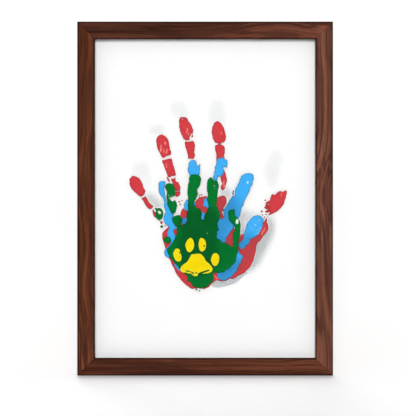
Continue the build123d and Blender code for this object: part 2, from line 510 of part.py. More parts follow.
def hanger_places():
    """Middle and turn of each hanger: one for an upright frame, one for a frame that lies on its side."""
    return {"portrait_hanger": (0.0, WALL + SHEET_HEIGHT - HANGER_INSET, 0),
            "landscape_hanger": (SHEET_WIDTH / 2 - HANGER_INSET, MIDDLE, 90)}


def hanger_rivet_places():
    """Where the rivets of both hangers go."""
    reach = HANGER_LENGTH / 2 - HANGER_RIVET_INSET
    places = []
    for x, z, turn in hanger_places().values():
        across, along = cos(radians(turn)) * reach, sin(radians(turn)) * reach
        places += [(x - across, z - along), (x + across, z + along)]
    return places


def upright_pieces():
    """Every piece by name, with the frame upright and the leg open."""
    pieces = frame_bars()
    pieces["corner_v_nails"] = corner_nails()
    pieces.update(stack_pieces())
    places = button_places()
    for name, x, z, turn in places:
        pieces["turn_button_" + name] = turn_button(x, z, turn)
    pieces["turn_button_screws"] = [button_screw(x, z) for _, x, z, _ in places]
    for name, (x, z, turn) in hanger_places().items():
        pieces[name] = Pos(x, BOARD_BACK, z) * Rot(0, turn, 0) * saw_tooth_hanger()
    tail = BOARD_BACK - BOARD_THICKNESS
    pieces["hanger_rivets"] = [rivet(x, z, tail, BOARD_BACK + HANGER_THICKNESS)
                               for x, z in hanger_rivet_places()]
    pieces["board_hinge_leaf"] = board_hinge_leaf()
    pieces["board_hinge_rivets"] = [rivet(x, z, tail, BOARD_BACK + LEAF_THICKNESS)
                                    for x, z in board_leaf_rivet_places()]
    pin = Cylinder(PIN_RADIUS, HINGE_WIDTH, rotation=(0, 90, 0))
    pieces["hinge_pin"] = Pos(0, AXIS_Y, HINGE_HEIGHT) * pin
    pieces["easel_leg"] = opened(easel_leg())
    pieces["leg_hinge_leaf"] = opened(leg_hinge_leaf())
    pieces["leg_hinge_rivets"] = [opened(rivet(x, z, LEG_BACK - LEG_THICKNESS, LEG_BACK + LEAF_THICKNESS))
                                  for x, z in leg_leaf_rivet_places()]
    return pieces


def standing():
    """Leans the frame back and puts the origin on the table, in the middle of the footprint."""
    front = OUTER_ARRIS * EDGE_SHARE - DEPTH * cos(radians(LEAN))
    axis_back = HINGE_HEIGHT * sin(radians(LEAN)) + AXIS_Y * cos(radians(LEAN))
    foot_back = axis_back + AXIS_HEIGHT * tan(SPREAD) + (LEG_BACK - AXIS_Y) / cos(SPREAD)
    return Pos(0, -(front + foot_back) / 2, -BACK_ARRIS * EDGE_SHARE) * Rot(-LEAN, 0, 0)


def main():
    os.makedirs("parts", exist_ok=True)
    stand = standing()
    above_table = Box(2 * WIDTH, 4 * HEIGHT, 2 * HEIGHT, align=(Align.CENTER, Align.CENTER, Align.MIN))
    for name, shape in upright_pieces().items():
        solids = [stand * solid for solid in shape] if isinstance(shape, list) else stand * shape
        if name == "easel_leg":
            solids &= above_table
        export_step(Compound(children=solids) if isinstance(solids, list) else solids, f"parts/{name}.step")


if __name__ == "__main__":
    main()
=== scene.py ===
import json
import math

import bmesh
import bpy
import numpy as np
from mathutils import Matrix, Vector


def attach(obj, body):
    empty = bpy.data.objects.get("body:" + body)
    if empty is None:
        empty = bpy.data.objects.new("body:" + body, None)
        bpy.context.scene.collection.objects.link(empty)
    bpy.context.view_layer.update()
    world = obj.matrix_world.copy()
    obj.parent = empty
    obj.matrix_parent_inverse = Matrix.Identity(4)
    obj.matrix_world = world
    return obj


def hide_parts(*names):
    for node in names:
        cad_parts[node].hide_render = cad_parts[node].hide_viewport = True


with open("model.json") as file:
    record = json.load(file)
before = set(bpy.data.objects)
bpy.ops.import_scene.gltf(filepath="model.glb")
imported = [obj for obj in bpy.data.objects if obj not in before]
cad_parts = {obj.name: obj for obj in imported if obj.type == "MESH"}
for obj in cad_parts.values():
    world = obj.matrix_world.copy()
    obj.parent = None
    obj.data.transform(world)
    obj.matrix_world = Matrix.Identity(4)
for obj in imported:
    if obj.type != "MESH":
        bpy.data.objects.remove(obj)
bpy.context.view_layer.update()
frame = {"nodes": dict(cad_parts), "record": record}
nodes = frame["nodes"]
scene = bpy.context.scene
mm = 0.001
tiny = 1e-9
white = (1, 1, 1, 1)
print("frame loaded:", len(nodes), "nodes")


# The frame's own axes: x to the right, y to the back, z up its face, from the middle of the bottom edge
def leaningFace():
    edge = next(m for m in frame["record"]["mounts"] if m["name"] == "bottom_edge")
    up = -Vector(edge["axis"])
    right = Vector((1, 0, 0))
    turn = Matrix((right, up.cross(right), up)).transposed().to_4x4()
    return Matrix.Translation(edge["pos_m"]) @ turn


faceToWorld = leaningFace()
worldToFace = faceToWorld.inverted()


def faceBox(*names):
    points = np.array([worldToFace @ v.co for n in names for v in nodes[n].data.vertices])
    return Vector(points.min(axis=0)), Vector(points.max(axis=0))


# Colour as it looks on a screen, 0 to 255, as linear values
def shade(red, green, blue):
    parts = [c / 255 for c in (red, green, blue)]
    return tuple(c / 12.92 if c <= 0.04045 else ((c + 0.055) / 1.055) ** 2.4 for c in parts) + (1.0,)


# Node helpers: a socket given as a value is linked, anything else is set
def feed(tree, node, inputs):
    for key, value in inputs.items():
        if isinstance(value, bpy.types.NodeSocket):
            tree.links.new(value, node.inputs[key])
        else:
            node.inputs[key].default_value = value


def put(tree, kind, inputs=None, **settings):
    node = tree.nodes.new(kind)
    for key, value in settings.items():
        setattr(node, key, value)
    feed(tree, node, inputs or {})
    return node


def calc(tree, how, *values):
    return put(tree, "ShaderNodeMath", dict(enumerate(values)), operation=how).outputs[0]


# Each part is a value and its share
def addUp(tree, total, *parts):
    for value, share in parts:
        total = calc(tree, "MULTIPLY_ADD", value, share, total)
    return total


def remap(tree, value, low, high, toLow=0.0, toHigh=1.0):
    inputs = {0: value, 1: low, 2: high, 3: toLow, 4: toHigh}
    return put(tree, "ShaderNodeMapRange", inputs, interpolation_type="SMOOTHSTEP").outputs[0]


def blend(tree, share, first, second, how="MIX"):
    inputs = {0: share, 6: first, 7: second}
    return put(tree, "ShaderNodeMix", inputs, data_type="RGBA", blend_type=how).outputs[2]


def stretch(tree, vector, scale):
    return put(tree, "ShaderNodeVectorMath", {0: vector, 1: scale}, operation="MULTIPLY").outputs[0]


def noise(tree, vector, seed, scale, detail=2.0, rough=0.5, distort=0.0):
    inputs = {"Vector": vector, "W": seed, "Scale": scale, "Detail": detail, "Roughness": rough,
              "Distortion": distort}
    return put(tree, "ShaderNodeTexNoise", inputs, noise_dimensions="4D").outputs[0]


def ramp(tree, value, stops):
    node = put(tree, "ShaderNodeValToRGB", {0: value})
    band = node.color_ramp
    while len(band.elements) < len(stops):
        band.elements.new(0.5)
    for element, (place, colour) in zip(band.elements, stops):
        element.position = place
        element.color = colour
    return node.outputs[0]


# Each group is a surface: from a place and its own inputs it puts out a colour, a roughness and a height
def newGroup(name, inputs):
    group = bpy.data.node_groups.new(name, "ShaderNodeTree")

    def socket(label, side, kind):
        return group.interface.new_socket(name=label, in_out=side, socket_type="NodeSocket" + kind)

    socket("Vector", "INPUT", "Vector")
    for label, value in inputs.items():
        socket(label, "INPUT", "Color" if isinstance(value, tuple) else "Float").default_value = value
    for label, kind in (("Color", "Color"), ("Roughness", "Float"), ("Height", "Float")):
        socket(label, "OUTPUT", kind)
    return group, group.nodes.new("NodeGroupInput").outputs


def closeGroup(group, colour, roughness, height):
    put(group, "NodeGroupOutput", {"Color": colour, "Roughness": roughness, "Height": height})
    return group


def newMaterial(name, settings):
    material = bpy.data.materials.new(name)
    material.use_nodes = True
    tree = material.node_tree
    shader = tree.nodes["Principled BSDF"]
    feed(tree, shader, settings)
    return material, tree, shader


def objectPlace(tree):
    return put(tree, "ShaderNodeTexCoord").outputs["Object"]


# Relief is the strength of the bump and its depth in metres
def laySurface(tree, shader, group, inputs, relief):
    surface = put(tree, "ShaderNodeGroup", inputs, node_tree=group).outputs
    raised = {"Height": surface["Height"], "Strength": relief[0], "Distance": relief[1]}
    feed(tree, shader, {"Base Color": surface["Color"], "Roughness": surface["Roughness"],
                        "Normal": put(tree, "ShaderNodeBump", raised).outputs[0]})


def dress(name, material):
    for slot in nodes[name].material_slots:
        slot.material = material


# Walnut: the vector runs along the bar, back from its front face and inwards from its outer edge, in metres
walnut = {
    "stops": [(0.00, shade(40, 21, 14)), (0.25, shade(72, 42, 32)), (0.50, shade(98, 61, 49)),
              (0.75, shade(122, 79, 64)), (1.00, shade(150, 102, 84))],
    "line": shade(44, 24, 17), "pore": shade(40, 20, 14),
    # edge is the painted shade and stain along the two front edges; seam is the dark of the mitres
    "edge": shade(40, 20, 15), "seam": shade(26, 12, 9),
    "waves": {  # to the metre along, back and inwards, then detail and roughness
        "wander": ((8, 8, 8), 1.0, 0.5),
        "bands": ((5, 150, 190), 2.0, 0.5),
        "streaks": ((14, 620, 760), 3.0, 0.6),
        "flecks": ((75, 1900, 2300), 1.0, 0.5),
        "clouds": ((16, 40, 40), 2.0, 0.5),
        "lines": ((3.6, 170, 215), 1.0, 0.4),
    },
    "swing": 0.032,  # how far slow waves bend the grain to and fro
    "mix": {"bands": 1.1, "streaks": 0.8, "clouds": 0.5},
    "middle": 0.66,
    "lineWidth": (0.01, 0.10), "lineShare": (0.25, 0.7), "cloudRange": (0.3, 0.7),
    "poreRange": (0.60, 0.74), "poreShare": 0.55, "poreHeight": -0.7,
    "edgeReach": (0.0012, 0.0024), "edgeRagged": 0.0008, "edgeShadeShare": 0.8,
    "seamWidth": (0.0001, 0.0005), "seamShare": 0.4,
    "rough": 0.62, "streakRough": -0.22, "specular": 0.02, "relief": (0.25, 0.0002),
}


def walnutGroup():
    group, given = newGroup("walnutGrain", {"Seed": 0.0, "Tone": 0.0, "Drift": 0.0, "Length": 0.3,
                                            "Width": 0.0155, "Tint": white})
    vector, mix = given["Vector"], walnut["mix"]
    along, back, inward = put(group, "ShaderNodeSeparateXYZ", {0: vector}).outputs

    def wave(name, where):
        scale, detail, rough = walnut["waves"][name]
        return noise(group, stretch(group, where, scale), given["Seed"], 1.0, detail, rough)

    def fromEdge(across):
        squares = [calc(group, "POWER", side, 2.0) for side in (back, across)]
        return calc(group, "SQRT", calc(group, "ADD", *squares))

    def fromMitre(run):
        return calc(group, "ABSOLUTE", calc(group, "SUBTRACT", run, inward))

    swing = calc(group, "SUBTRACT", wave("wander", vector), 0.5)
    shift = calc(group, "MULTIPLY", swing, walnut["swing"])
    offset = put(group, "ShaderNodeCombineXYZ", {"Y": shift, "Z": shift}).outputs[0]
    bent = put(group, "ShaderNodeVectorMath", {0: vector, 1: offset}, operation="ADD").outputs[0]
    bands, streaks, clouds = wave("bands", bent), wave("streaks", bent), wave("clouds", vector)
    tone = addUp(group, given["Tone"], (bands, mix["bands"]), (streaks, mix["streaks"]),
                 (clouds, mix["clouds"]))
    tone = addUp(group, calc(group, "SUBTRACT", tone, walnut["middle"]), (along, given["Drift"]))
    colour = blend(group, 1.0, ramp(group, tone, walnut["stops"]), given["Tint"], "MULTIPLY")
    # growth lines, long and thin, a few millimetres apart
    lines = calc(group, "ABSOLUTE", calc(group, "SUBTRACT", wave("lines", bent), 0.5))
    lines = remap(group, lines, *walnut["lineWidth"], 1.0, 0.0)
    depth = remap(group, clouds, *walnut["cloudRange"], *walnut["lineShare"])
    colour = blend(group, calc(group, "MULTIPLY", lines, depth), colour, walnut["line"])
    pores = remap(group, wave("flecks", bent), *walnut["poreRange"])
    colour = blend(group, calc(group, "MULTIPLY", pores, walnut["poreShare"]), colour, walnut["pore"])
    # darker along the two front edges: painted shade of the rounded edges, with some stain gathered there
    inner = calc(group, "SUBTRACT", given["Width"], inward)
    edges = calc(group, "MINIMUM", fromEdge(inward), fromEdge(inner))
    edges = addUp(group, edges, (streaks, walnut["edgeRagged"]))
    edgeShadeAndStain = remap(group, edges, *walnut["edgeReach"], walnut["edgeShadeShare"], 0.0)
    colour = blend(group, edgeShadeAndStain, colour, walnut["edge"])
    # the mitres at both ends
    rest = calc(group, "SUBTRACT", given["Length"], along)
    seam = calc(group, "MINIMUM", fromMitre(along), fromMitre(rest))
    seam = remap(group, seam, *walnut["seamWidth"], walnut["seamShare"], 0.0)
    colour = blend(group, seam, colour, walnut["seam"])
    roughness = addUp(group, walnut["rough"], (streaks, walnut["streakRough"]))
    height = addUp(group, streaks, (pores, walnut["poreHeight"]))
    return closeGroup(group, colour, roughness, height)


# Which way is inwards on each bar, and what its own wood is like
bars = {
    "left_stile": {"inward": (1, 0, 0), "wood": {"Seed": 3.1, "Tone": -0.09, "Tint": (1, 0.74, 0.46, 1)}},
    "right_stile": {"inward": (-1, 0, 0), "wood": {"Seed": 8.6, "Tone": 0.05, "Tint": (1, 0.92, 0.87, 1)}},
    "top_rail": {"inward": (0, 0, -1), "wood": {"Seed": 14.2, "Drift": -1.3, "Tint": (1, 0.79, 0.70, 1)}},
    "bottom_rail": {"inward": (0, 0, 1), "wood": {"Seed": 21.7, "Tone": -0.29, "Drift": 1.1,
                                                  "Tint": (1, 0.76, 0.55, 1)}},
}
frameLow, frameHigh = faceBox(*bars)
frameMiddle = (frameLow + frameHigh) / 2


def dressBars():
    group = walnutGroup()
    back = Vector((0, 1, 0))
    for name, bar in bars.items():
        low, high = faceBox(name)
        inward = Vector(bar["inward"])
        along = back.cross(inward)
        corner = Vector([low[i] if (along + back + inward)[i] > 0 else high[i] for i in range(3)])
        toBar = Matrix((along, back, inward)).to_4x4() @ Matrix.Translation(-corner) @ worldToFace
        material, tree, shader = newMaterial(name + "_walnut", {"Specular IOR Level": walnut["specular"]})
        placing = {"Vector": objectPlace(tree), "Location": toBar.to_translation(),
                   "Rotation": toBar.to_euler("XYZ")}
        spot = put(tree, "ShaderNodeMapping", placing).outputs[0]
        size = {"Length": abs((high - low).dot(along)), "Width": abs((high - low).dot(inward))}
        laySurface(tree, shader, group, {"Vector": spot, **size, **bar["wood"]}, walnut["relief"])
        dress(name, material)
    print("walnut on", len(bars), "bars")


dressBars()


# Clear acrylic: nearly nothing face on, more sheen at a grazing angle
clear = {
    "clear_pane": {"faceOn": 0.0006, "grazing": 0.40, "seed": 1.0},
    "clear_sheet": {"faceOn": 0.0002, "grazing": 0.12, "seed": 4.0},
    "acrylic": {"Base Color": shade(176, 184, 184), "IOR": 1.49},
    "falloff": 4.0,
    "smudge": {"scale": 26.0, "detail": 3.0}, "smudgeRange": (0.3, 0.7), "rough": (0.03, 0.09),
    "layers": 32,  # faces that one look through the whole stack may pass
}


def clearMaterial(name):
    look = clear[name]
    material, tree, shader = newMaterial(name, clear["acrylic"])
    facing = put(tree, "ShaderNodeLayerWeight", {"Blend": 0.5}).outputs["Facing"]
    sheen = calc(tree, "POWER", facing, clear["falloff"])
    alpha = remap(tree, sheen, 0.0, 1.0, look["faceOn"], look["grazing"])
    smudge = noise(tree, objectPlace(tree), look["seed"], **clear["smudge"])
    roughness = remap(tree, smudge, *clear["smudgeRange"], *clear["rough"])
    feed(tree, shader, {"Alpha": alpha, "Roughness": roughness})
    return material


def dressSheets():
    dress("front_pane", clearMaterial("clear_pane"))
    inner = clearMaterial("clear_sheet")
    sheets = [n for n in nodes if n.endswith("_sheet")]
    for name in sheets:
        dress(name, inner)
    scene.cycles.transparent_max_bounces = clear["layers"]
    print("clear acrylic on the pane and", len(sheets), "sheets")


dressSheets()


# Pressed fibre, in waves to the metre, for the board, the leg and the card
fibre = {
    "cloud": {"seed": 2.0, "scale": 14.0, "detail": 3.0},
    "fleck": {"seed": 6.0, "scale": 420.0, "rough": 0.7, "distort": 1.5},
    "strand": {"seed": 9.0, "scale": 760.0, "rough": 0.6, "distort": 2.0},
    "strandStretch": (1.0, 1.0, 0.28),
    "mix": {"cloud": 0.3, "fleck": 0.5, "strand": 0.35},
    "range": (0.40, 0.78),
    "rough": 0.68, "fleckRough": 0.2, "specular": 0.25, "depth": 0.0003,
}


def fibreGroup():
    group, given = newGroup("pressedFibre", {"Scale": 1.0, "Light": white, "Dark": white, "Contrast": 0.5})
    grown = {0: given["Vector"], "Scale": given["Scale"]}
    spot = put(group, "ShaderNodeVectorMath", grown, operation="SCALE").outputs[0]
    mix = fibre["mix"]
    cloud = noise(group, spot, **fibre["cloud"])
    fleck = noise(group, spot, **fibre["fleck"])
    strand = noise(group, stretch(group, spot, fibre["strandStretch"]), **fibre["strand"])
    mark = addUp(group, 0.0, (strand, mix["strand"]), (fleck, mix["fleck"]), (cloud, mix["cloud"]))
    share = calc(group, "MULTIPLY", remap(group, mark, *fibre["range"]), given["Contrast"])
    colour = blend(group, share, given["Light"], given["Dark"])
    roughness = addUp(group, fibre["rough"], (fleck, fibre["fleckRough"]))
    return closeGroup(group, colour, roughness, mark)


boards = {
    "backing_board": {"bump": 0.25, "fibre": {"Light": shade(158, 120, 84), "Dark": shade(96, 66, 42),
                                              "Contrast": 0.9, "Scale": 1.0}},
    "easel_leg": {"bump": 0.25, "fibre": {"Light": shade(150, 112, 78), "Dark": shade(88, 60, 38),
                                          "Contrast": 0.9, "Scale": 1.15}},
    "white_card": {"bump": 0.06, "fibre": {"Light": shade(254, 254, 254), "Dark": shade(250, 250, 249),
                                           "Contrast": 0.6, "Scale": 2.0}},
}


def dressBoards():
    group = fibreGroup()
    for name, look in boards.items():
        material, tree, shader = newMaterial(name + "_fibre", {"Specular IOR Level": fibre["specular"]})
        inputs = {"Vector": objectPlace(tree), **look["fibre"]}
        laySurface(tree, shader, group, inputs, (look["bump"], fibre["depth"]))
        dress(name, material)
    print("fibre on", len(boards), "boards")


dressBoards()


# Plated metal, in crystals and waves to the metre
plating = {
    "crystals": 520.0,
    "cloud": {"scale": 120.0, "detail": 3.0},
    "scuff": {"scale": 2400.0},
    "scuffStretch": (1.0, 1.0, 0.12),
    "mix": {"crystals": 0.22, "cloud": 0.8},
    "range": (0.2, 0.9),
    "crystalRough": 0.12, "scuffRough": 0.12, "crystalHeight": 0.3, "relief": (0.08, 0.0001),
}


def platingGroup():
    group, given = newGroup("platedMetal", {"Bright": white, "Dull": white, "Polish": 0.3, "Seed": 0.0})
    vector, seed, mix = given["Vector"], given["Seed"], plating["mix"]
    cells = {"Vector": vector, "W": seed, "Scale": plating["crystals"]}
    crystals = put(group, "ShaderNodeTexVoronoi", cells, voronoi_dimensions="4D").outputs["Color"]
    grey = put(group, "ShaderNodeRGBToBW", {0: crystals}).outputs[0]
    cloud = noise(group, vector, seed, **plating["cloud"])
    scuff = noise(group, stretch(group, vector, plating["scuffStretch"]), seed, **plating["scuff"])
    mark = addUp(group, 0.0, (cloud, mix["cloud"]), (grey, mix["crystals"]))
    colour = blend(group, remap(group, mark, *plating["range"]), given["Bright"], given["Dull"])
    roughness = addUp(group, given["Polish"], (grey, plating["crystalRough"]),
                      (scuff, plating["scuffRough"]))
    height = addUp(group, scuff, (grey, plating["crystalHeight"]))
    return closeGroup(group, colour, roughness, height)


metals = {
    "zinc_steel": {"starts": ("turn_button",), "ends": ("_hanger", "_leaf", "_pin", "_nails"),
                   "plate": {"Bright": shade(196, 198, 201), "Dull": shade(158, 162, 167),
                             "Polish": 0.28, "Seed": 2.0}},
    "rivet_aluminium": {"starts": (), "ends": ("_rivets",),
                        "plate": {"Bright": shade(226, 226, 228), "Dull": shade(190, 191, 194),
                                  "Polish": 0.22, "Seed": 5.0}},
}


def dressMetals():
    group = platingGroup()
    for finish, look in metals.items():
        material, tree, shader = newMaterial(finish, {"Metallic": 1.0})
        laySurface(tree, shader, group, {"Vector": objectPlace(tree), **look["plate"]}, plating["relief"])
        names = [n for n in nodes if n.startswith(look["starts"]) or n.endswith(look["ends"])]
        for name in names:
            dress(name, material)
        print(finish, "on", len(names), "nodes")


dressMetals()


# Prints: every size is in millimetres from the middle of the frame, x to the right and z up.
# A pad is a smooth line through its points, and a dab is a run of points with a radius at each. Gaps are
# dabs left free of paint, and thin dabs show the thin paint, only faintly where the radius is about zero.
# On bare spots the thin paint is painted light: a pale colour that stays light where the card behind
# would lie in shade; elsewhere it is the print's own thin paint.
# Specks are points with a radius. A shaded patch is painted shade: a pad, how dark it is and how wide its
# soft edge is.
# Rough is how ragged the edges are. Along them the paint is darker by the rim tone, or thinner by the rim
# thin. The whole is set a little narrower and higher by the scale.
printGrid = {"step": 0.5, "left": -72.0, "right": 78.0, "low": -84.0, "high": 94.0, "reach": 5.0,
             "scale": (0.994, 1.011)}
gridX = np.arange(printGrid["left"], printGrid["right"], printGrid["step"])
gridZ = np.arange(printGrid["low"], printGrid["high"], printGrid["step"])

largeHand = {
    "node": "large_hand_print", "slot": "red_paint",
    "paints": {"Paint": shade(210, 62, 68), "Shaded paint": shade(188, 66, 71),
               "Thin paint": shade(240, 148, 138)},
    "seed": 11, "rough": 0.32,
    "pads": [
        # little finger
        [(-67, 16), (-65.2, 18.6), (-62.3, 19.6), (-59.5, 18.5), (-56.9, 15.4), (-55, 11.8), (-53.5, 7.5),
         (-53.4, 4), (-56.4, 2.3), (-60.7, 4.2), (-64.2, 8), (-66.4, 12)],
        [(-56, 0.1), (-54.5, 1.2), (-52.9, 1.7), (-51.6, 0.7), (-51.2, -0.9), (-50, -2.5), (-48.6, -4),
         (-47.1, -5.5), (-46.1, -6.7), (-46.6, -8), (-48.2, -9), (-50.1, -8.4), (-51.7, -6.9),
         (-53.2, -4.9), (-54.8, -2.1)],
        # ring finger
        [(-43.1, 48.5), (-41.6, 54), (-38.6, 55.5), (-35.2, 54), (-32.6, 49.5), (-31.3, 44), (-30.5, 38.8),
         (-33.5, 37), (-37.4, 35.4), (-40.9, 41.1)],
        [(-37.7, 32.7), (-34, 34.2), (-29.8, 35.2), (-28.6, 29.5), (-26, 21), (-29, 19.6), (-32.4, 19),
         (-36.2, 27.9)],
        [(-30, 16.9), (-28.2, 17.3), (-26.2, 18.1), (-25.8, 15.1), (-23.5, 13.8), (-22.1, 10.1),
         (-22.4, 2.7), (-25.8, 2.2), (-27, 8), (-28.2, 12.5)],
        # middle finger
        [(-22.8, 66.6), (-21.7, 69.6), (-19.5, 70.8), (-17.2, 70.7), (-15, 68.4), (-12.2, 64.4),
         (-10.6, 58.9), (-11.2, 53.9), (-13.5, 51.6), (-16.1, 50.7), (-18.6, 51.8), (-20.8, 55.6),
         (-22.2, 60)],
        [(-17.7, 48.6), (-14, 49.1), (-9.9, 50), (-9.5, 43), (-9.1, 38), (-9.6, 35.9), (-10.6, 34.9),
         (-13.6, 34.8), (-14.6, 35.6), (-15.4, 38.2), (-16.7, 43.4)],
        # index finger
        [(6.1, 57.4), (6.4, 61.8), (8, 65.8), (10.2, 67.1), (12.4, 66.8), (14.6, 64.9), (16.6, 61),
         (17.9, 56.4), (18.2, 52.6), (16.2, 49), (11.6, 48.2), (7.8, 50.2)],
        [(8.9, 45.4), (11.2, 46.7), (15.2, 46.6), (17.3, 44.4), (17.1, 40), (16.6, 32), (10.6, 32),
         (9.7, 40)],
        [(17.1, 23.6), (18.5, 19.6), (19.1, 15.6), (18.3, 11.6), (17.4, 8.6), (15.6, 7.5), (13.9, 9.1),
         (14.4, 11.1), (15, 13.1), (14.3, 16.1), (14, 20.6)],
        # thumb
        [(57.6, -10.8), (57.4, -8.4), (57.1, -5.4), (56.5, -2.3), (57.3, -0.6), (58, 2.4), (60, 3.9),
         (61.5, 3.4), (63.8, 5.6), (67.3, 6.6), (69, 6.1), (71.2, 7.1), (72.5, 5.8), (71.4, 2.6),
         (70.1, -2.4), (67.8, -6.9), (64.3, -10.4), (59.7, -12)],
        # palm
        [(-31.8, -24.2), (-37.2, -29.3), (-37.8, -32.5), (-36.8, -38), (-35, -43.5), (-31.6, -52.4),
         (-29, -57.4), (-26.7, -62.5), (-23.8, -67.4), (-20, -72), (-15.2, -76.2), (-10.6, -78.4),
         (-6, -77.4), (-1.8, -77.9), (3, -76.6), (6.5, -72.8), (9.5, -70.9), (13.5, -72), (20.2, -70.6),
         (28.8, -67.4), (36.5, -62.5), (41.3, -56.8), (44.1, -48.5), (45.2, -42), (46, -38.7), (49, -36),
         (51, -33.2), (54.7, -28.5), (55.8, -24.9), (55, -21.5), (53, -20), (47, -22), (40, -27),
         (34, -30.5), (30.5, -30.5), (25.2, -25.5), (20, -20), (16.6, -16.2), (16, -9), (17.9, -6),
         (19.2, -2.4), (18.3, 1.3), (15.4, 2.5), (11, 0.6), (6, -3), (1.2, 1.9), (-4.7, 0.9), (-8.6, -2.6),
         (-13, -8), (-17, -10.5), (-19, -8.4), (-21.2, -10.8), (-22, -14), (-25, -20)],
    ],
    "dabs": [
        [(-46.1, -9.8, 0.6), (-45.2, -12.4, 1.2), (-44, -15.1, 1.1)],
        [(12.4, 46.6, 1.0), (13.4, 48.6, 1.0)],
        [(57.6, -2.6, 1.5), (54.4, -3.9, 1.0)],
        [(58, -7.4, 1.2), (53.7, -5.6, 0.7)],
        [(57.8, -9.4, 1.0), (52.9, -7.6, 0.6)],
        [(58.4, -10.6, 1.2), (53.4, -11.4, 0.7)],
        [(59, -11.8, 1.3), (56.6, -13.8, 0.7)],
        [(54.4, -16.8, 0.5), (53.2, -20, 1.1)],
        [(-33.3, 18.2, 0.4), (-31.5, 14.8, 0.6)],
    ],
    "gaps": [
        [(-11.6, 56.6, 0.35), (-13.2, 52.6, 0.8)],
        [(-20.8, 69.7, 0.3), (-19.4, 68.9, 0.3)],
        [(-26.8, 6.5, 0.28), (-21.8, 6.6, 0.28)],
    ],
    "thin": [
        [(-38.9, 46.4, 0.35), (-39.1, 41, 0.6)],
        [(-35.5, 48.9, 0.55), (-35, 47.4, 0.5)],
        [(-33.5, 43, 0.3), (-34.2, 39.6, 0.5)],
        [(-36.6, 43, 0.2), (-36.2, 40.2, 0.3)],
        [(-15.7, 60.6, 0.45), (-16.3, 57, 0.3)],
        [(-14.4, 57, 0.25), (-14.8, 55.4, 0.3)],
        [(14.4, 57.4, 0.4), (14.2, 56.4, 0.35)],
        [(-34.4, 30.6, 0.2), (-34, 27, 0.3)],
        [(16.7, 15.2, 0.4), (16.2, 12.3, 0.5)],
        [(17.8, 11.4, 0.5), (16.6, 10.4, 0.5)],
        [(67.6, 4.6, 0.3), (67.2, 2, 0.2)],
        [(52.6, -25.6, 0.3), (52.2, -28, 0.3)],
        [(50.2, -31, 0.45), (51.4, -27.8, 0.4)],
        [(8.2, -66.6, 0.3), (11, -70, 0.45)],
        [(30.4, -32.2, 0.4), (33.4, -30.6, 0.4)],
    ],
    "shaded": [
        ([(8, 4), (20, 3), (21, -12), (34, -27), (52, -29), (48, -44), (40, -58), (26, -68), (8, -62),
          (0, -30)], 1.0, 5.0),
        ([(-16, -2), (-2, 2), (2, -10), (-14, -14)], 0.5, 3.0),
    ],
    "specks": [(-38.6, -20.7, 1.2), (-35.6, -23.4, 0.5), (-22.9, -2.7, 0.75), (-20.4, -1.8, 0.55),
               (-22, -5.2, 0.75), (-23.6, -0.4, 0.4), (-5.2, 2.9, 0.6), (-3.3, 3.4, 0.7), (-5.3, 0.9, 0.6),
               (53, -1.4, 0.7), (50, -11.1, 0.9), (50.6, -14.1, 0.5), (52.4, -16.1, 0.6),
               (53.8, -13.6, 0.6), (55.1, -15.6, 0.4), (-46, -6, 0.4), (-6.2, 4.8, 0.4), (-34.6, -23, 0.35),
               (-35.6, -23.7, 0.4)],
}

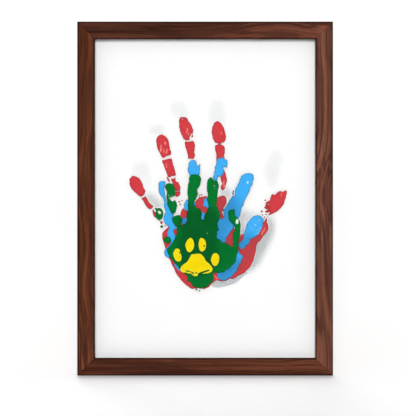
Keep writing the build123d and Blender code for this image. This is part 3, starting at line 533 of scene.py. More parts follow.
mediumHand = {
    "node": "medium_hand_print", "slot": "blue_paint",
    "paints": {"Paint": shade(65, 174, 244), "Shaded paint": shade(46, 126, 181),
               "Thin paint": shade(196, 232, 252)},
    "seed": 23, "rough": 0.32,
    "pads": [
        # little finger down to the side of the palm
        [(-40.5, 13.8), (-41.2, 9), (-40.4, 5), (-38.5, 1.5), (-36.6, -1), (-36.3, -7), (-34.9, -11.5),
         (-36.6, -16), (-36.2, -20.8), (-33.5, -23), (-31.7, -24.6), (-33.4, -30.6), (-32.6, -35),
         (-30.6, -38), (-32, -41), (-35.8, -44.7), (-36.1, -47.5), (-34.4, -50.3), (-31.6, -51),
         (-28.6, -53), (-26.6, -55.4), (-27.2, -57.3), (-24.8, -61.2), (-22.6, -62.9), (-20, -61),
         (-18, -45), (-25.4, -36), (-25.7, -33), (-28.2, -27.6), (-24, -25.9), (-26, -24), (-28, -20),
         (-27.6, -14.6), (-30.2, -9.6), (-32.4, -6), (-34, -2), (-35, 1), (-35.3, 4), (-36.1, 8),
         (-35.8, 11), (-35, 13.9), (-37.5, 15)],
        # tips over the two middle fingers
        [(-15.3, 26.2), (-14.7, 30.6), (-12.7, 32.7), (-10.3, 33.3), (-8, 32.3), (-7.2, 29), (-6, 27.9),
         (-4.7, 29.2), (-4.6, 24.6), (-5.4, 20.8), (-9, 18.5), (-13.3, 19.6), (-14.2, 22.4), (-15.2, 23.6)],
        [(10.9, 34.6), (9.8, 30.1), (8.4, 24.5), (8, 21), (7, 18.9), (7.2, 16.6), (8.8, 15.4), (10.6, 16.2),
         (11.4, 19), (14.3, 19.4), (16.4, 22), (17, 25), (15.4, 26.8), (17.2, 27.8), (19.2, 27),
         (19.9, 30.6), (19.2, 33.4), (16.8, 34.4), (16.4, 35.8), (13.5, 35.2)],
        # beside the small hand's fingers
        [(-16, -0.6), (-18.1, -3.4), (-18.6, -7), (-17, -10.6), (-14, -9), (-13.5, -3)],
        [(-20, -17), (-20.8, -20.8), (-19.2, -22.9), (-14, -20.5), (-14.5, -16.5)],
        [(-11.6, -5.2), (-9.6, -3.4), (-8.3, -4.4), (-9, -7)],
        [(-0.2, 0), (-1.4, -4), (-1.2, -6), (2, -9), (5, -6), (3, 0)],
        [(-3.6, -11.6), (-0.2, -13), (-0.6, -18), (-4, -20), (-5.2, -14)],
        # index finger and the palm below it
        [(27.2, 9.1), (30, 15.1), (31.4, 19), (34.5, 21.5), (38.8, 22.4), (42.1, 21), (42.7, 18.5),
         (41.9, 12.9), (39.4, 7.5), (37.4, 3.2), (34.1, -4.2), (31.7, -10.8), (29.8, -16.9), (28, -20),
         (25.2, -25), (21.5, -30), (18.8, -33.6), (18.3, -37.4), (14.5, -38.6), (11, -38), (8, -33),
         (8, -22), (12, -17), (14.5, -17.2), (16.5, -16.3), (15.9, -10.8), (17.8, -7.1), (21.2, -2.4),
         (24, 1.2), (25.6, 2.6), (26.6, 5.5)],
        # thumb
        [(37.4, -20.7), (39.4, -17.9), (42.7, -15.1), (47, -14.5), (50.4, -16), (51.4, -18.8),
         (50.4, -24.5), (48.9, -28.7), (46.1, -32), (42.2, -34.3), (39.5, -35.7), (39.7, -37.3),
         (36.5, -40.9), (33.1, -43.8), (31.2, -42.8), (29.5, -40), (32.7, -35.3), (34.6, -30.6),
         (36, -24.9)],
        # right edge of the palm
        [(29, -44.5), (31, -48), (33.2, -50.5), (32.2, -54.1), (29.3, -59.7), (26.9, -63.6), (21.2, -69.1),
         (16.4, -71.6), (13.3, -70.3), (10.6, -66.4), (12, -58), (20, -52), (25, -46)],
        # under the small palm
        [(-20, -36), (-22, -48), (-16, -60), (0, -64), (14, -62), (24, -50), (12, -34), (-4, -28)],
    ],
    "dabs": [[(24.6, 1.4, 0.6), (25, 6.6, 0.25)]],
    "gaps": [[(51.6, -16, 0.5), (49.8, -17, 0.3)]],
    "thin": [
        [(37.7, 14.5, 0.75), (37.4, 13.6, 0.65)],
        [(44.5, -22.6, 0.35), (44.4, -23.5, 0.3)],
        [(41, -19.4, -0.1), (46.6, -20.6, -0.05)],
        [(40, -26.4, -0.1), (46, -27, -0.05)],
        [(46.6, -19.2, 0.0), (48.6, -18.4, 0.2)],
        [(49.9, -26.4, 0.3), (47.4, -25.2, 0.0)],
        [(49.4, -28.4, 0.3), (46.6, -27.4, 0.0)],
        [(48, -30.4, 0.3), (45.2, -29.6, 0.0)],
        [(38, -23.4, -0.1), (43, -25.4, -0.1)],
        [(28.4, -19, 1.4), (28.2, -20.7, 1.5)],
    ],
    "shaded": [
        ([(18, 4), (30, 2), (33, -8), (30, -18), (26, -26), (20, -44), (0, -44), (0, -14), (8, 2)],
         1.0, 10.0),
        ([(28, -34), (40, -29), (44, -36), (34, -48), (26, -42)], 0.7, 5.0),
        ([(28, -50), (34, -54), (28, -66), (14, -74), (8, -66), (20, -56)], 0.8, 5.0),
        ([(-21, -13), (-12, -12), (-12, -26), (-21, -25)], 0.8, 2.0),
        ([(-12, -2), (-7, -2), (-7, -9), (-12, -9)], 0.6, 2.0),
    ],
    "specks": [],
}

smallHand = {
    "node": "small_hand_print", "slot": "green_paint",
    "paints": {"Paint": shade(2, 116, 45), "Shaded paint": shade(2, 91, 36),
               "Thin paint": shade(232, 243, 236)},
    "seed": 37, "rough": 0.32,
    "pads": [
        # little finger
        [(-44.2, -8.2), (-42.4, -8.6), (-40.3, -8), (-38.2, -9.3), (-37, -11.9), (-37.1, -14.8),
         (-38.2, -17.6), (-40.1, -19.2), (-42.2, -17.9), (-43.7, -15.3), (-43.9, -12.4), (-43.2, -10.3)],
        # ring finger
        [(-35.7, 10.4), (-34.3, 12.5), (-31.9, 13.5), (-28.9, 12.6), (-26.9, 9.6), (-26.4, 5.7),
         (-26.9, 2.4), (-29.2, 1.5), (-30.9, 1.2), (-31.1, 0), (-28.9, -2.7), (-26.9, -1.3), (-25.8, -2.3),
         (-25, -6), (-25.3, -9.5), (-26.8, -12.9), (-29, -13.4), (-30.4, -11.6), (-31.5, -8.6),
         (-32.8, -5.2), (-33.8, -2.1), (-34.2, 0.9), (-33.9, 3.5), (-33.6, 6.4), (-34.8, 8.3)],
        [(-28.6, -16.6), (-25.7, -14.5), (-22.4, -14.8), (-20.5, -17.9), (-21, -22.1), (-23.8, -24.9),
         (-26.7, -23), (-28.7, -19.8)],
        # middle finger
        [(-14.1, 18.5), (-11, 20.9), (-7.1, 20.9), (-4.4, 18.5), (-4, 15.1), (-5, 11), (-7, 8), (-6.6, 5.2),
         (-7.1, 2.3), (-9.3, -2.4), (-10.2, -5.5), (-8.3, -6.8), (-4.8, -9.4), (-3.2, -12.7), (-4.2, -18.4),
         (-5, -24), (-15, -24), (-15.7, -19.8), (-16.3, -15.5), (-15.2, -8.9), (-15, -1), (-15.4, 6),
         (-15.2, 11), (-14.4, 15.5)],
        # index finger
        [(1.9, 15.1), (3, 17.4), (5.4, 18.6), (6.8, 17.2), (8.4, 15.4), (10.3, 15.6), (11.5, 13.6),
         (12.1, 10.8), (11.4, 7), (10.6, 3.1), (10.6, -0.5), (9.9, -5.4), (11.7, -9), (12.8, -12.1),
         (13, -15.6), (11.3, -20), (11.7, -25.3), (10.5, -30), (9, -37), (-1, -30), (-2, -21),
         (-0.9, -18.7), (-0.2, -14), (1.2, -10.8), (3.1, -6.7), (2.9, -4.6), (1.8, -1), (2.3, 3.8),
         (1.7, 7.5), (1.6, 10)],
        # thumb
        [(20.6, -10.8), (22.6, -9.8), (26, -10), (26.5, -14), (28.8, -16.8), (30.8, -20.2), (31.3, -25.9),
         (30.5, -32.5), (29.4, -38), (28.8, -46), (24, -46), (25, -39), (24.3, -34.3), (25, -29.6),
         (26.4, -26.8), (25, -22.2), (22.1, -19.8), (20.7, -15.5)],
        # palm
        [(-15, -19), (-18, -21.8), (-21, -23.6), (-24.1, -25.6), (-24.5, -29.8), (-26, -32.6),
         (-27.4, -36.2), (-29.4, -39.2), (-32.2, -41.9), (-33.7, -44.2), (-32.9, -47.2), (-31.1, -50.8),
         (-28.2, -54.6), (-25.4, -57.4), (-21.8, -61.6), (-18.6, -65), (-16, -67), (-15.4, -69.8),
         (-16.4, -71.6), (-13.6, -72.3), (-12, -73.8), (-11.4, -75.6), (-9, -76.8), (-4.5, -77.9),
         (0.2, -77), (3.5, -74.6), (6.6, -71.8), (7.6, -68), (7.4, -65), (10.5, -64.5), (15.9, -63.9),
         (21, -60.5), (25.6, -56.2), (27.6, -51), (29, -45), (28.6, -41), (25.4, -40.4), (24, -41.6),
         (21, -39.8), (18.5, -38.6), (15.2, -38), (13.4, -35.4), (10.8, -34.6), (6, -22), (-2, -18.6),
         (-8, -17)],
    ],
    "dabs": [[(-34, -35.8, 2.8), (-32.8, -35.8, 2.8)]],
    "gaps": [[(-30.4, 0.9, 0.35), (-28.4, -0.9, 0.55)]],
    "thin": [
        [(-41, -11.2, 0.6), (-39.9, -12.4, 1.0)],
        [(28.4, -19, 1.1), (28.2, -20.7, 1.2)],
        [(1.8, -30, 0.1), (2.2, -30.6, 0.05)],
        [(8, 11.4, 0.1), (8.4, 10.6, 0.05)],
        [(8.7, 9.2, 0.0), (8.6, 8.4, 0.0)],
        [(-32.4, 3.2, 0.1), (-32.2, 2.2, 0.1)],
        [(-30, 2.4, 0.0), (-28, 1.6, 0.15)],
        [(-31, 0, 0.2), (-32, 0.6, 0.0)],
    ],
    "shaded": [
        ([(-16, -4), (-6, -8), (6, -6), (13, -14), (14, -40), (17, -52), (10, -62), (-8, -72), (-20, -62),
          (-28, -46), (-24, -28), (-28, -21), (-22, -14)], 1.0, 5.0),
        ([(14, -36), (29, -40), (26, -57), (12, -64), (4, -78), (-10, -78), (-10, -60)], 0.35, 5.0),
    ],
    "specks": [(-38.3, -24.2, 1.25), (-7.8, -78.8, 0.8), (-5.2, -80.1, 0.6)],
}

pawPrint = {
    "node": "paw_print", "slot": "yellow_paint",
    "paints": {"Paint": shade(242, 215, 10), "Shaded paint": shade(236, 206, 8),
               "Thin paint": shade(240, 236, 62)},
    "seed": 51, "rough": 0.26, "rimTone": 0.0, "rimThin": 0.7,
    "pads": [
        # toes
        [(-24.6, -43.1), (-23, -44.2), (-21.7, -47.2), (-20.7, -50.7), (-21.2, -53.3), (-23.1, -54.8),
         (-25.6, -53.8), (-27.4, -51.2), (-28.2, -47.7), (-27.1, -44.6)],
        [(-12.8, -33.9), (-10.4, -36.4), (-9.8, -40.9), (-11.3, -44.9), (-14.3, -46.6), (-16.6, -44.2),
         (-17.4, -40), (-15.7, -36.2)],
        [(-3.2, -34), (-0.4, -35.8), (0.9, -40), (-0.4, -44.2), (-3.2, -46.2), (-5.4, -43.4), (-5.7, -39),
         (-4.9, -35.8)],
        [(9.2, -47.2), (11.8, -48.9), (12.5, -53.1), (10.7, -57.4), (8.2, -58.4), (5.9, -56.4),
         (5.1, -52.7), (6.8, -48.4)],
        # heel
        [(-11.9, -48.5), (-8, -48), (-4.2, -48), (-1.8, -49.9), (0.6, -53.9), (4.9, -57.8), (6.7, -60.7),
         (5.4, -63.9), (0.1, -64.9), (-4.7, -65.6), (-6.1, -67.2), (-8.5, -67.7), (-10.9, -66.4),
         (-13.3, -65), (-17.1, -64.2), (-20.5, -64), (-22, -61.6), (-20.6, -58.4), (-16.2, -54.9),
         (-13.6, -51.2)],
    ],
    "dabs": [],
    "gaps": [
        [(-5.4, -65.5, 0.85), (-2.8, -64.2, 0.75), (0.2, -63.2, 0.7), (3.4, -62.2, 0.5)],
        [(-0.9, -41, 0.7), (-0.6, -41.2, 0.5)],
        [(-22.7, -46.8, 0.4), (-22.5, -47.6, 0.3)],
        [(-22.7, -50.3, 0.35), (-22.4, -50.8, 0.3)],
        [(-17, -62.7, 0.5), (-13.5, -63.2, 0.45)],
        [(-11.8, -63.8, 0.6), (-10.2, -65.4, 0.45)],
        [(-8.4, -64, 0.5), (-7, -64.9, 0.4)],
        [(-13, -65.2, 0.45), (-11.6, -66.8, 0.6)],
    ],
    "thin": [],
    "shaded": [],
    "specks": [],
}


# How edges fray and specks fall, in millimetres
fraying = {
    "stretch": 15.0,  # some stretches of an edge fray more than others
    "stretchRange": (-0.3, 0.5), "least": 0.7, "more": 1.1,
    "coarse": 2.6, "fine": 1.1, "fineShare": 0.9,
    "speckRun": (0.3, 0.1), "speckTaper": 0.8,
}


# A closed smooth line through the points
def smoothLoop(points, perSpan=8):
    p = np.array(points, float)
    before, after, beyond = np.roll(p, 1, 0), np.roll(p, -1, 0), np.roll(p, -2, 0)
    gap = np.sqrt(np.linalg.norm(after - p, axis=1))[:, None]
    lastGap, nextGap = np.roll(gap, 1, 0), np.roll(gap, -1, 0)
    leave = (after - before) / (gap + lastGap) * gap
    arrive = (beyond - p) / (gap + nextGap) * gap
    t = np.linspace(0, 1, perSpan, endpoint=False)[None, :, None]
    line = (p[:, None] * (2 * t**3 - 3 * t**2 + 1) + leave[:, None] * (t**3 - 2 * t**2 + t)
            + after[:, None] * (3 * t**2 - 2 * t**3) + arrive[:, None] * (t**3 - t**2))
    return line.reshape(-1, 2)


def bareGrid():
    return np.full((len(gridZ), len(gridX)), printGrid["reach"])


# The part of the grid round some points
def gridRound(points, extra):
    reach = printGrid["reach"] + extra
    low, high = np.min(points, axis=0) - reach, np.max(points, axis=0) + reach
    spanX = slice(np.searchsorted(gridX, low[0]), np.searchsorted(gridX, high[0]))
    spanZ = slice(np.searchsorted(gridZ, low[1]), np.searchsorted(gridZ, high[1]))
    return (spanZ, spanX), np.meshgrid(gridX[spanX], gridZ[spanZ])


# How far each grid point is from a run between two points, and its share of the way along
def runDistance(x, z, start, end):
    dx, dz = end[0] - start[0], end[1] - start[1]
    share = ((x - start[0]) * dx + (z - start[1]) * dz) / max(dx * dx + dz * dz, tiny)
    share = np.clip(share, 0, 1)
    return np.hypot(x - start[0] - share * dx, z - start[1] - share * dz), share


# Distances to the edge of a shape over the whole grid, less than zero inside it
def padField(points):
    loop = smoothLoop(points)
    field = bareGrid()
    window, (x, z) = gridRound(loop, 0)
    nearest = np.full(x.shape, printGrid["reach"])
    inside = np.zeros(x.shape, bool)
    for start, end in zip(loop, np.roll(loop, -1, 0)):
        nearest = np.minimum(nearest, runDistance(x, z, start, end)[0])
        crosses = (start[1] > z) != (end[1] > z)
        rise = end[1] - start[1] if abs(end[1] - start[1]) > tiny else tiny
        inside ^= crosses & (x < start[0] + (end[0] - start[0]) * (z - start[1]) / rise)
    field[window] = np.where(inside, -nearest, nearest)
    return field


def dabField(dab):
    dab = np.array(dab)
    field = bareGrid()
    window, (x, z) = gridRound(dab[:, :2], dab[:, 2].max())
    for start, end in zip(dab, dab[1:]):
        distance, share = runDistance(x, z, start, end)
        distance = distance - start[2] - (end[2] - start[2]) * share
        field[window] = np.minimum(field[window], distance)
    return field


def soft(field, low, high):
    share = np.clip((field - low) / (high - low), 0, 1)
    return share * share * (3 - 2 * share)


# A value between four grid points
def mixFour(values, i, j, fv, fu):
    low = values[i, j] * (1 - fu) + values[i, j + 1] * fu
    high = values[i + 1, j] * (1 - fu) + values[i + 1, j + 1] * fu
    return low * (1 - fv) + high * fv


# Smooth seeded noise on the grid, from -1 to 1, with waves about as long as the size
def gridNoise(rng, size):
    u, v = (gridX[None, :] - gridX[0]) / size, (gridZ[:, None] - gridZ[0]) / size
    lattice = rng.uniform(-1, 1, (int(v[-1, 0]) + 2, int(u[0, -1]) + 2))
    i, j = v.astype(int), u.astype(int)
    return mixFour(lattice, i, j, soft(v - i, 0, 1), soft(u - j, 0, 1))


def printField(shape):
    rng = np.random.default_rng(shape["seed"])
    fields = [padField(points) for points in shape["pads"]] + [dabField(dab) for dab in shape["dabs"]]
    ragged = soft(gridNoise(rng, fraying["stretch"]), *fraying["stretchRange"])
    ragged = fraying["least"] + fraying["more"] * ragged
    waves = gridNoise(rng, fraying["coarse"])
    waves = waves + fraying["fineShare"] * gridNoise(rng, fraying["fine"])
    field = np.min(fields, axis=0) + shape["rough"] * ragged * waves
    for dab in shape["gaps"]:
        field = np.maximum(field, -dabField(dab))
    runX, runZ = fraying["speckRun"]
    for x, z, radius in shape["specks"]:
        tip = (x + runX, z + runZ, radius * fraying["speckTaper"])
        field = np.minimum(field, dabField([(x, z, radius), tip]))
    return field


def blur(values, times):
    for _ in range(times):
        for axis in (0, 1):
            values = (np.roll(values, 1, axis) + 2 * values + np.roll(values, -1, axis)) / 4
    return values


# Soft patches, the strongest of them at each point, with a quarter of the soft edge outside the pad
def patchAmount(patches):
    amount = np.zeros((len(gridZ), len(gridX)))
    for points, share, edge in patches:
        patch = soft(-padField(points), -edge / 4, edge)
        amount = np.maximum(amount, share * blur(patch, int(edge * edge)))
    return amount


def readGrid(values, x, z):
    u, v = (x - gridX[0]) / printGrid["step"], (z - gridZ[0]) / printGrid["step"]
    j, i = np.clip(u.astype(int), 0, len(gridX) - 2), np.clip(v.astype(int), 0, len(gridZ) - 2)
    return mixFour(values, i, j, v - i, u - j)


# Dried paint: sizes of the film in millimetres, then its looks, in waves to the metre
paintFilm = {
    "thick": 0.11, "edge": 0.7, "swell": 0.025, "swellSize": 3.1, "off": 0.01,
    "thinEdge": 0.35, "rimWidth": 1.2, "rimTone": -0.36,
    "cut": (0.06, 0.94),  # how near to a grid point an edge may run
    "patch": {"scale": 150.0, "detail": 3.0},
    "grain": {"scale": 900.0},
    "ridges": {"scale": 700.0, "detail": 1.0, "distort": 2.0},
    "ridgeStretch": (1.0, 1.0, 0.35),
    "tone": 0.84, "mix": {"patch": 0.22, "grain": 0.10},
    "rough": 0.56, "ridgeRough": 0.18, "ridgeHeight": 0.7, "specular": 0.02, "relief": (0.15, 0.0001),
}


# A film has a face for each grid cell inside the edge, cut where the edge crosses, and a flat back
def filmMesh(name, field, height, back, marks, skip=1):
    xs, zs, edge = gridX[::skip], gridZ[::skip], field[::skip, ::skip]
    wet = edge < 0
    besides = [np.roll(wet, step, axis) for step in (1, -1) for axis in (0, 1)]
    wet &= np.any(besides, axis=0)  # no crumbs of a single point
    edge = np.where(wet, edge, np.abs(edge))
    points, known, faces = [], {}, []

    def corner(i, j):
        if (i, j) not in known:
            known[(i, j)] = len(points)
            points.append((xs[j], zs[i], 1.0))
        return known[(i, j)]

    def crossing(a, b):
        key = (min(a, b), max(a, b))
        if key not in known:
            share = np.clip(edge[a] / (edge[a] - edge[b]), *paintFilm["cut"])
            known[key] = len(points)
            x = xs[a[1]] + (xs[b[1]] - xs[a[1]]) * share
            z = zs[a[0]] + (zs[b[0]] - zs[a[0]]) * share
            points.append((x, z, 0.0))
        return known[key]

    touched = wet[:-1, :-1] | wet[1:, :-1] | wet[:-1, 1:] | wet[1:, 1:]
    for i, j in zip(*np.nonzero(touched)):
        ring = [(i, j), (i, j + 1), (i + 1, j + 1), (i + 1, j)]
        face = []
        for a, b in zip(ring, ring[1:] + ring[:1]):
            if wet[a]:
                face.append(corner(*a))
            if wet[a] != wet[b]:
                face.append(crossing(a, b))
        if len(face) < 6:
            faces.append(face)
            continue
        middle = len(points)  # a neck from corner to corner, raised in the middle
        points.append((xs[j : j + 2].mean(), zs[i : i + 2].mean(), 1.0))
        faces += [[middle, a, b] for a, b in zip(face, face[1:] + face[:1])]

    x, z, raised = np.array(points).T
    rise = readGrid(height, x, z) * raised
    across, up = [mm * share for share in printGrid["scale"]]
    work = bmesh.new()
    verts = []
    for px, pz, h in zip(x, z, rise):
        spot = Vector((frameMiddle.x + px * across, back - h * mm, frameMiddle.z + pz * up))
        verts.append(work.verts.new(faceToWorld @ spot))
    for row in faces:
        work.faces.new([verts[k] for k in row]).smooth = True
    rim = [e for e in work.edges if e.is_boundary]
    backward = faceToWorld.to_3x3() @ Vector((0, 1, 0))
    bmesh.ops.triangle_fill(work, edges=rim, use_beauty=True, normal=backward)
    bmesh.ops.recalc_face_normals(work, faces=work.faces)
    mesh = bpy.data.meshes.new(name)
    work.to_mesh(mesh)
    work.free()
    for label, values in marks.items():
        layer = mesh.attributes.new(label, "FLOAT", "POINT")
        layer.data.foreach_set("value", readGrid(values, x, z))
    piece = bpy.data.objects.new(name, mesh)
    scene.collection.objects.link(piece)
    return piece


def sheetFront(node):
    return faceBox(node)[1].y - paintFilm["off"] * mm


def readMark(tree, label):
    return put(tree, "ShaderNodeAttribute", attribute_name=label).outputs["Fac"]


# A film takes the place of the CAD print on its sheet
def standFor(piece, shape, material):
    piece.data.materials.append(material)
    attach(piece, "frame")
    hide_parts(shape["node"])
    print(piece.name, len(piece.data.polygons), "faces")


# A little mottled, ridged by the lines of a hand, darker or thinner along the rim, with painted shade in
# the shaded patches
def paintGroup():
    group, given = newGroup("driedPaint", {"Seed": 0.0, "Paint": white, "Shaded paint": white,
                                           "Thin paint": white, "Shaded": 0.0, "Thin": 0.0,
                                           "Rim": 0.0, "Rim tone": 0.0})
    vector, seed, mix = given["Vector"], given["Seed"], paintFilm["mix"]
    patch = noise(group, vector, seed, **paintFilm["patch"])
    grain = noise(group, vector, seed, **paintFilm["grain"])
    ridges = noise(group, stretch(group, vector, paintFilm["ridgeStretch"]), seed, **paintFilm["ridges"])
    tone = addUp(group, paintFilm["tone"], (grain, mix["grain"]), (patch, mix["patch"]),
                 (given["Rim"], given["Rim tone"]))
    grey = put(group, "ShaderNodeCombineColor", {0: tone, 1: tone, 2: tone}).outputs[0]
    # painted shade: in the shaded patches the paint turns to its shaded colour
    colour = blend(group, given["Shaded"], given["Paint"], given["Shaded paint"])
    colour = blend(group, 1.0, colour, grey, "MULTIPLY")
    # thin paint, and painted light on bare spots where the card behind would be shaded
    colour = blend(group, given["Thin"], colour, given["Thin paint"])
    roughness = addUp(group, paintFilm["rough"], (ridges, paintFilm["ridgeRough"]))
    height = addUp(group, grain, (ridges, paintFilm["ridgeHeight"]))
    return closeGroup(group, colour, roughness, height)


def makePrints():
    group = paintGroup()
    edges = bareGrid()
    for shape in (largeHand, mediumHand, smallHand, pawPrint):
        field = printField(shape)
        rng = np.random.default_rng(shape["seed"] + 1)
        depth = np.clip(-field / paintFilm["edge"], 0, 1)
        swell = paintFilm["swell"] * gridNoise(rng, paintFilm["swellSize"])
        height = (paintFilm["thick"] + swell) * np.sqrt(depth * (2 - depth))
        rim = 1 - soft(-field, 0.0, paintFilm["rimWidth"])
        thin = shape.get("rimThin", 0.0) * rim
        # thin dabs: thin paint, and painted light on bare spots that would otherwise show the shaded card
        for dab in shape["thin"]:
            bare = soft(-dabField(dab), -paintFilm["thinEdge"], paintFilm["thinEdge"])
            thin = np.maximum(thin, bare)
        marks = {"shaded": patchAmount(shape["shaded"]), "thin": thin, "rim": rim}
        name = shape["node"].replace("_print", "_paint")
        piece = filmMesh(name, field, height, sheetFront(shape["node"]), marks)
        material, tree, shader = newMaterial(name, {"Specular IOR Level": paintFilm["specular"]})
        inputs = {"Vector": objectPlace(tree), "Seed": shape["seed"], **shape["paints"],
                  "Rim tone": shape.get("rimTone", paintFilm["rimTone"]),
                  **{label.title(): readMark(tree, label) for label in marks}}
        laySurface(tree, shader, group, inputs, paintFilm["relief"])
        standFor(piece, shape, material)
        edges = np.minimum(edges, field)
    return edges


# The faint print at the back is partly a pale print and partly painted shadow: the faint finger tips are
# pale paint, and the grey between the fingers and along the heel and side of the palm is painted shadow.
# A patch is a pad, how much paint it has and how wide its soft edge is.
paleHandAndShadow = {
    "node": "pale_hand_print", "slot": "pale_paint",
    "paint": shade(196, 202, 204), "faintPaint": shade(176, 203, 204), "cloudPaint": shade(202, 208, 211),
    "faintRange": (0.12, 0.3),  # the faint paint gives way between these amounts
    "cloud": {"seed": 3.0, "scale": 300.0, "detail": 3.0},
    "cloudRange": (0.3, 0.7), "rough": (0.5, 0.65), "specular": 0.2,
    "seed": 67,
    "mottle": [(4.0, 0.07), (1.6, 0.07)],  # waves in millimetres and how much they count
    "thick": 0.8,  # beside the other films
    "skip": 2,  # every second point of the grid will do
    "patches": [
        # finger tips
        ([(-65.6, 27), (-62, 32.4), (-53.5, 33.6), (-48.8, 30), (-47.6, 23), (-46.6, 14.6), (-49.6, 8),
          (-53, 12.1), (-56, 17.1), (-60.6, 19.4), (-65, 22)], 0.07, 5.0),
        ([(-50.8, 61), (-47, 64.6), (-41.3, 65.6), (-37, 64.6), (-34.6, 60.6), (-39.6, 55), (-45, 54.6),
          (-49.8, 56.4)], 0.11, 5.0),
        ([(-33, 78), (-29.4, 85), (-19, 85.6), (-14.4, 79), (-16, 70.6), (-28, 70.6)], 0.075, 5.0),
        ([(2, 76), (4.6, 84), (11, 87), (17.8, 83), (19.6, 76), (18.6, 66), (10, 65), (3.4, 66)],
         0.075, 4.4),
        ([(51, 27), (54.4, 35.5), (58.8, 42), (66, 43), (69.4, 35), (68.4, 27), (66.8, 19), (63.4, 10.6),
          (56.4, 9), (51.8, 16.6)], 0.075, 5.0),
        # between the fingers: painted shadow
        ([(-53, 1.6), (-50, 5.4), (-45, 4), (-40.6, -0.6), (-37.6, -6), (-39, -9.6), (-43.4, -10.4),
          (-47, -7.6), (-52.4, -2.6)], 0.38, 4.5),
        ([(12.6, 8), (16, 11), (20.2, 10.5), (24.2, 6.1), (22.2, -0.4), (19.2, -0.9), (13.6, 3.1)],
         0.26, 3.0),
        ([(27, -9), (36, -9.4), (43.6, -12), (45.5, -15), (38.4, -19), (37.4, -23), (36.4, -30), (30, -34),
          (25, -26), (24, -14)], 0.36, 6.0),
        # heel and side of the palm: painted shadow beside the red palm, with a crisp edge below
        ([(48, -15.6), (55, -15.4), (60, -17), (61.4, -23), (60.4, -31.2), (57.2, -38.8), (53.6, -45.8),
          (48, -56.2), (41, -62.6), (30, -65), (24, -40), (36, -20)], 0.74, 6.0),
        ([(38, -64.4), (35.2, -66.4), (32, -69.2), (27.3, -72.8), (21, -75.2), (14, -76.9), (8, -76.9),
          (3, -73), (0, -64), (26, -57), (35, -61)], 0.85, 1.6),
    ],
    "least": 0.012, "most": 0.9,
    "clean": 0.9,  # a line left nearly bare beside the other prints
    "cleanWidth": (0.3, 1.7),
}


def paleAndShadowAmount():
    rng = np.random.default_rng(paleHandAndShadow["seed"])
    mottle = 1
    for size, share in paleHandAndShadow["mottle"]:
        mottle = mottle + share * gridNoise(rng, size)
    return np.clip(patchAmount(paleHandAndShadow["patches"]) * mottle, 0, paleHandAndShadow["most"])


def makePalePrintAndShadow(edges):
    beside = 1 - soft(edges, *paleHandAndShadow["cleanWidth"])
    amount = paleAndShadowAmount() * (1 - paleHandAndShadow["clean"] * beside)
    name = paleHandAndShadow["node"].replace("_print", "_paint")
    height = np.full(amount.shape, paintFilm["thick"] * paleHandAndShadow["thick"])
    front = sheetFront(paleHandAndShadow["node"])
    piece = filmMesh(name, paleHandAndShadow["least"] - amount, height, front, {"amount": amount}, paleHandAndShadow["skip"])
    material, tree, shader = newMaterial(name, {"Specular IOR Level": paleHandAndShadow["specular"]})
    share = readMark(tree, "amount")
    cloud = noise(tree, objectPlace(tree), **paleHandAndShadow["cloud"])
    # the grey paint is the colour of the painted shadow, the faint paint that of the faint finger tips
    colour = blend(tree, cloud, paleHandAndShadow["paint"], paleHandAndShadow["cloudPaint"])
    colour = blend(tree, remap(tree, share, *paleHandAndShadow["faintRange"]), paleHandAndShadow["faintPaint"], colour)
    roughness = remap(tree, cloud, *paleHandAndShadow["cloudRange"], *paleHandAndShadow["rough"])
    feed(tree, shader, {"Base Color": colour, "Alpha": share, "Roughness": roughness})
    standFor(piece, paleHandAndShadow, material)


makePalePrintAndShadow(makePrints())


# Floor, light and camera
studio = {
    "floorSize": 24.0,
    "floor": {"Base Color": shade(248, 248, 248), "Roughness": 0.8, "Specular IOR Level": 0.1,
              "Emission Color": white},
    "glow": 0.32,
    "sky": 0.2,
    "lamps": {  # angles in degrees
        "front_light": {"energy": 1.90, "angle": 14.0, "turn": (70.0, 0.0, 0.0)},
        "top_light": {"energy": 0.34, "angle": 60.0, "turn": (30.0, 0.0, -12.0)},
        "back_light": {"energy": 1.0, "angle": 40.0, "turn": (-62.0, 0.0, 15.0)},
        "left_light": {"energy": 0.5, "angle": 50.0, "turn": (78.0, 0.0, -100.0)},
        "right_light": {"energy": 0.5, "angle": 50.0, "turn": (78.0, 0.0, 100.0)},
    },
}


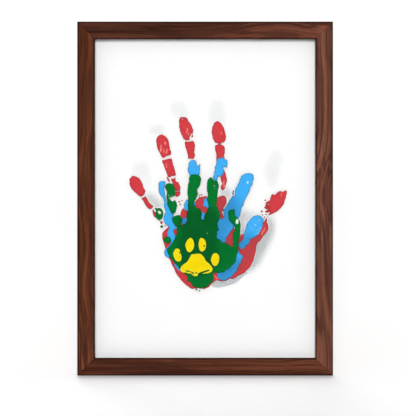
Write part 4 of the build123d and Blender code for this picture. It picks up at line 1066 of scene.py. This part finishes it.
# One for what the camera, a gloss or a clear sheet sees, nothing for light on the object
def seenDirectly(tree):
    path = put(tree, "ShaderNodeLightPath").outputs
    seen = calc(tree, "MAXIMUM", path["Is Camera Ray"], path["Is Glossy Ray"])
    return calc(tree, "MAXIMUM", seen, path["Is Transmission Ray"])


def makeStudio():
    bpy.ops.mesh.primitive_plane_add(size=studio["floorSize"])
    floor = bpy.context.object
    floor.name = "floor"
    material, tree, shader = newMaterial("pale_floor", studio["floor"])
    feed(tree, shader, {"Emission Strength": calc(tree, "MULTIPLY", seenDirectly(tree), studio["glow"])})
    floor.data.materials.append(material)
    world = bpy.data.worlds.new("studio")
    world.use_nodes = True
    scene.world = world
    tree = world.node_tree
    level = addUp(tree, studio["sky"], (seenDirectly(tree), 1 - studio["sky"]))
    feed(tree, tree.nodes["Background"], {"Color": white, "Strength": level})
    for name, look in studio["lamps"].items():
        lamp = bpy.data.lights.new(name, "SUN")
        lamp.energy = look["energy"]
        lamp.angle = math.radians(look["angle"])
        holder = bpy.data.objects.new(name, lamp)
        holder.rotation_euler = [math.radians(a) for a in look["turn"]]
        scene.collection.objects.link(holder)
    print("studio ready")


makeStudio()

# The camera looks square at the leaning face, from a distance in metres. The middle of the frame is a few
# pixels left of and above the middle of the picture.
view = {"pixels": 416, "mmPerPixel": 0.8753, "left": 2.9, "above": 9.45, "distance": 3.0, "sensor": 36.0}


def makeCamera():
    pixel = view["mmPerPixel"] * mm
    camera = bpy.data.cameras.new("photo_view")
    camera.sensor_fit = "HORIZONTAL"
    camera.sensor_width = view["sensor"]
    camera.lens = view["sensor"] * view["distance"] / (view["pixels"] * pixel)
    holder = bpy.data.objects.new("photo_view", camera)
    scene.collection.objects.link(holder)
    eye = Vector((frameMiddle.x + view["left"] * pixel, frameLow.y - view["distance"],
                  frameMiddle.z - view["above"] * pixel))
    facing = Matrix(((1, 0, 0), (0, 0, -1), (0, 1, 0))).to_4x4()
    holder.matrix_world = faceToWorld @ Matrix.Translation(eye) @ facing
    scene.camera = holder
    print("camera", [round(c, 3) for c in holder.location])


makeCamera()
scene.view_settings.view_transform = "Standard"
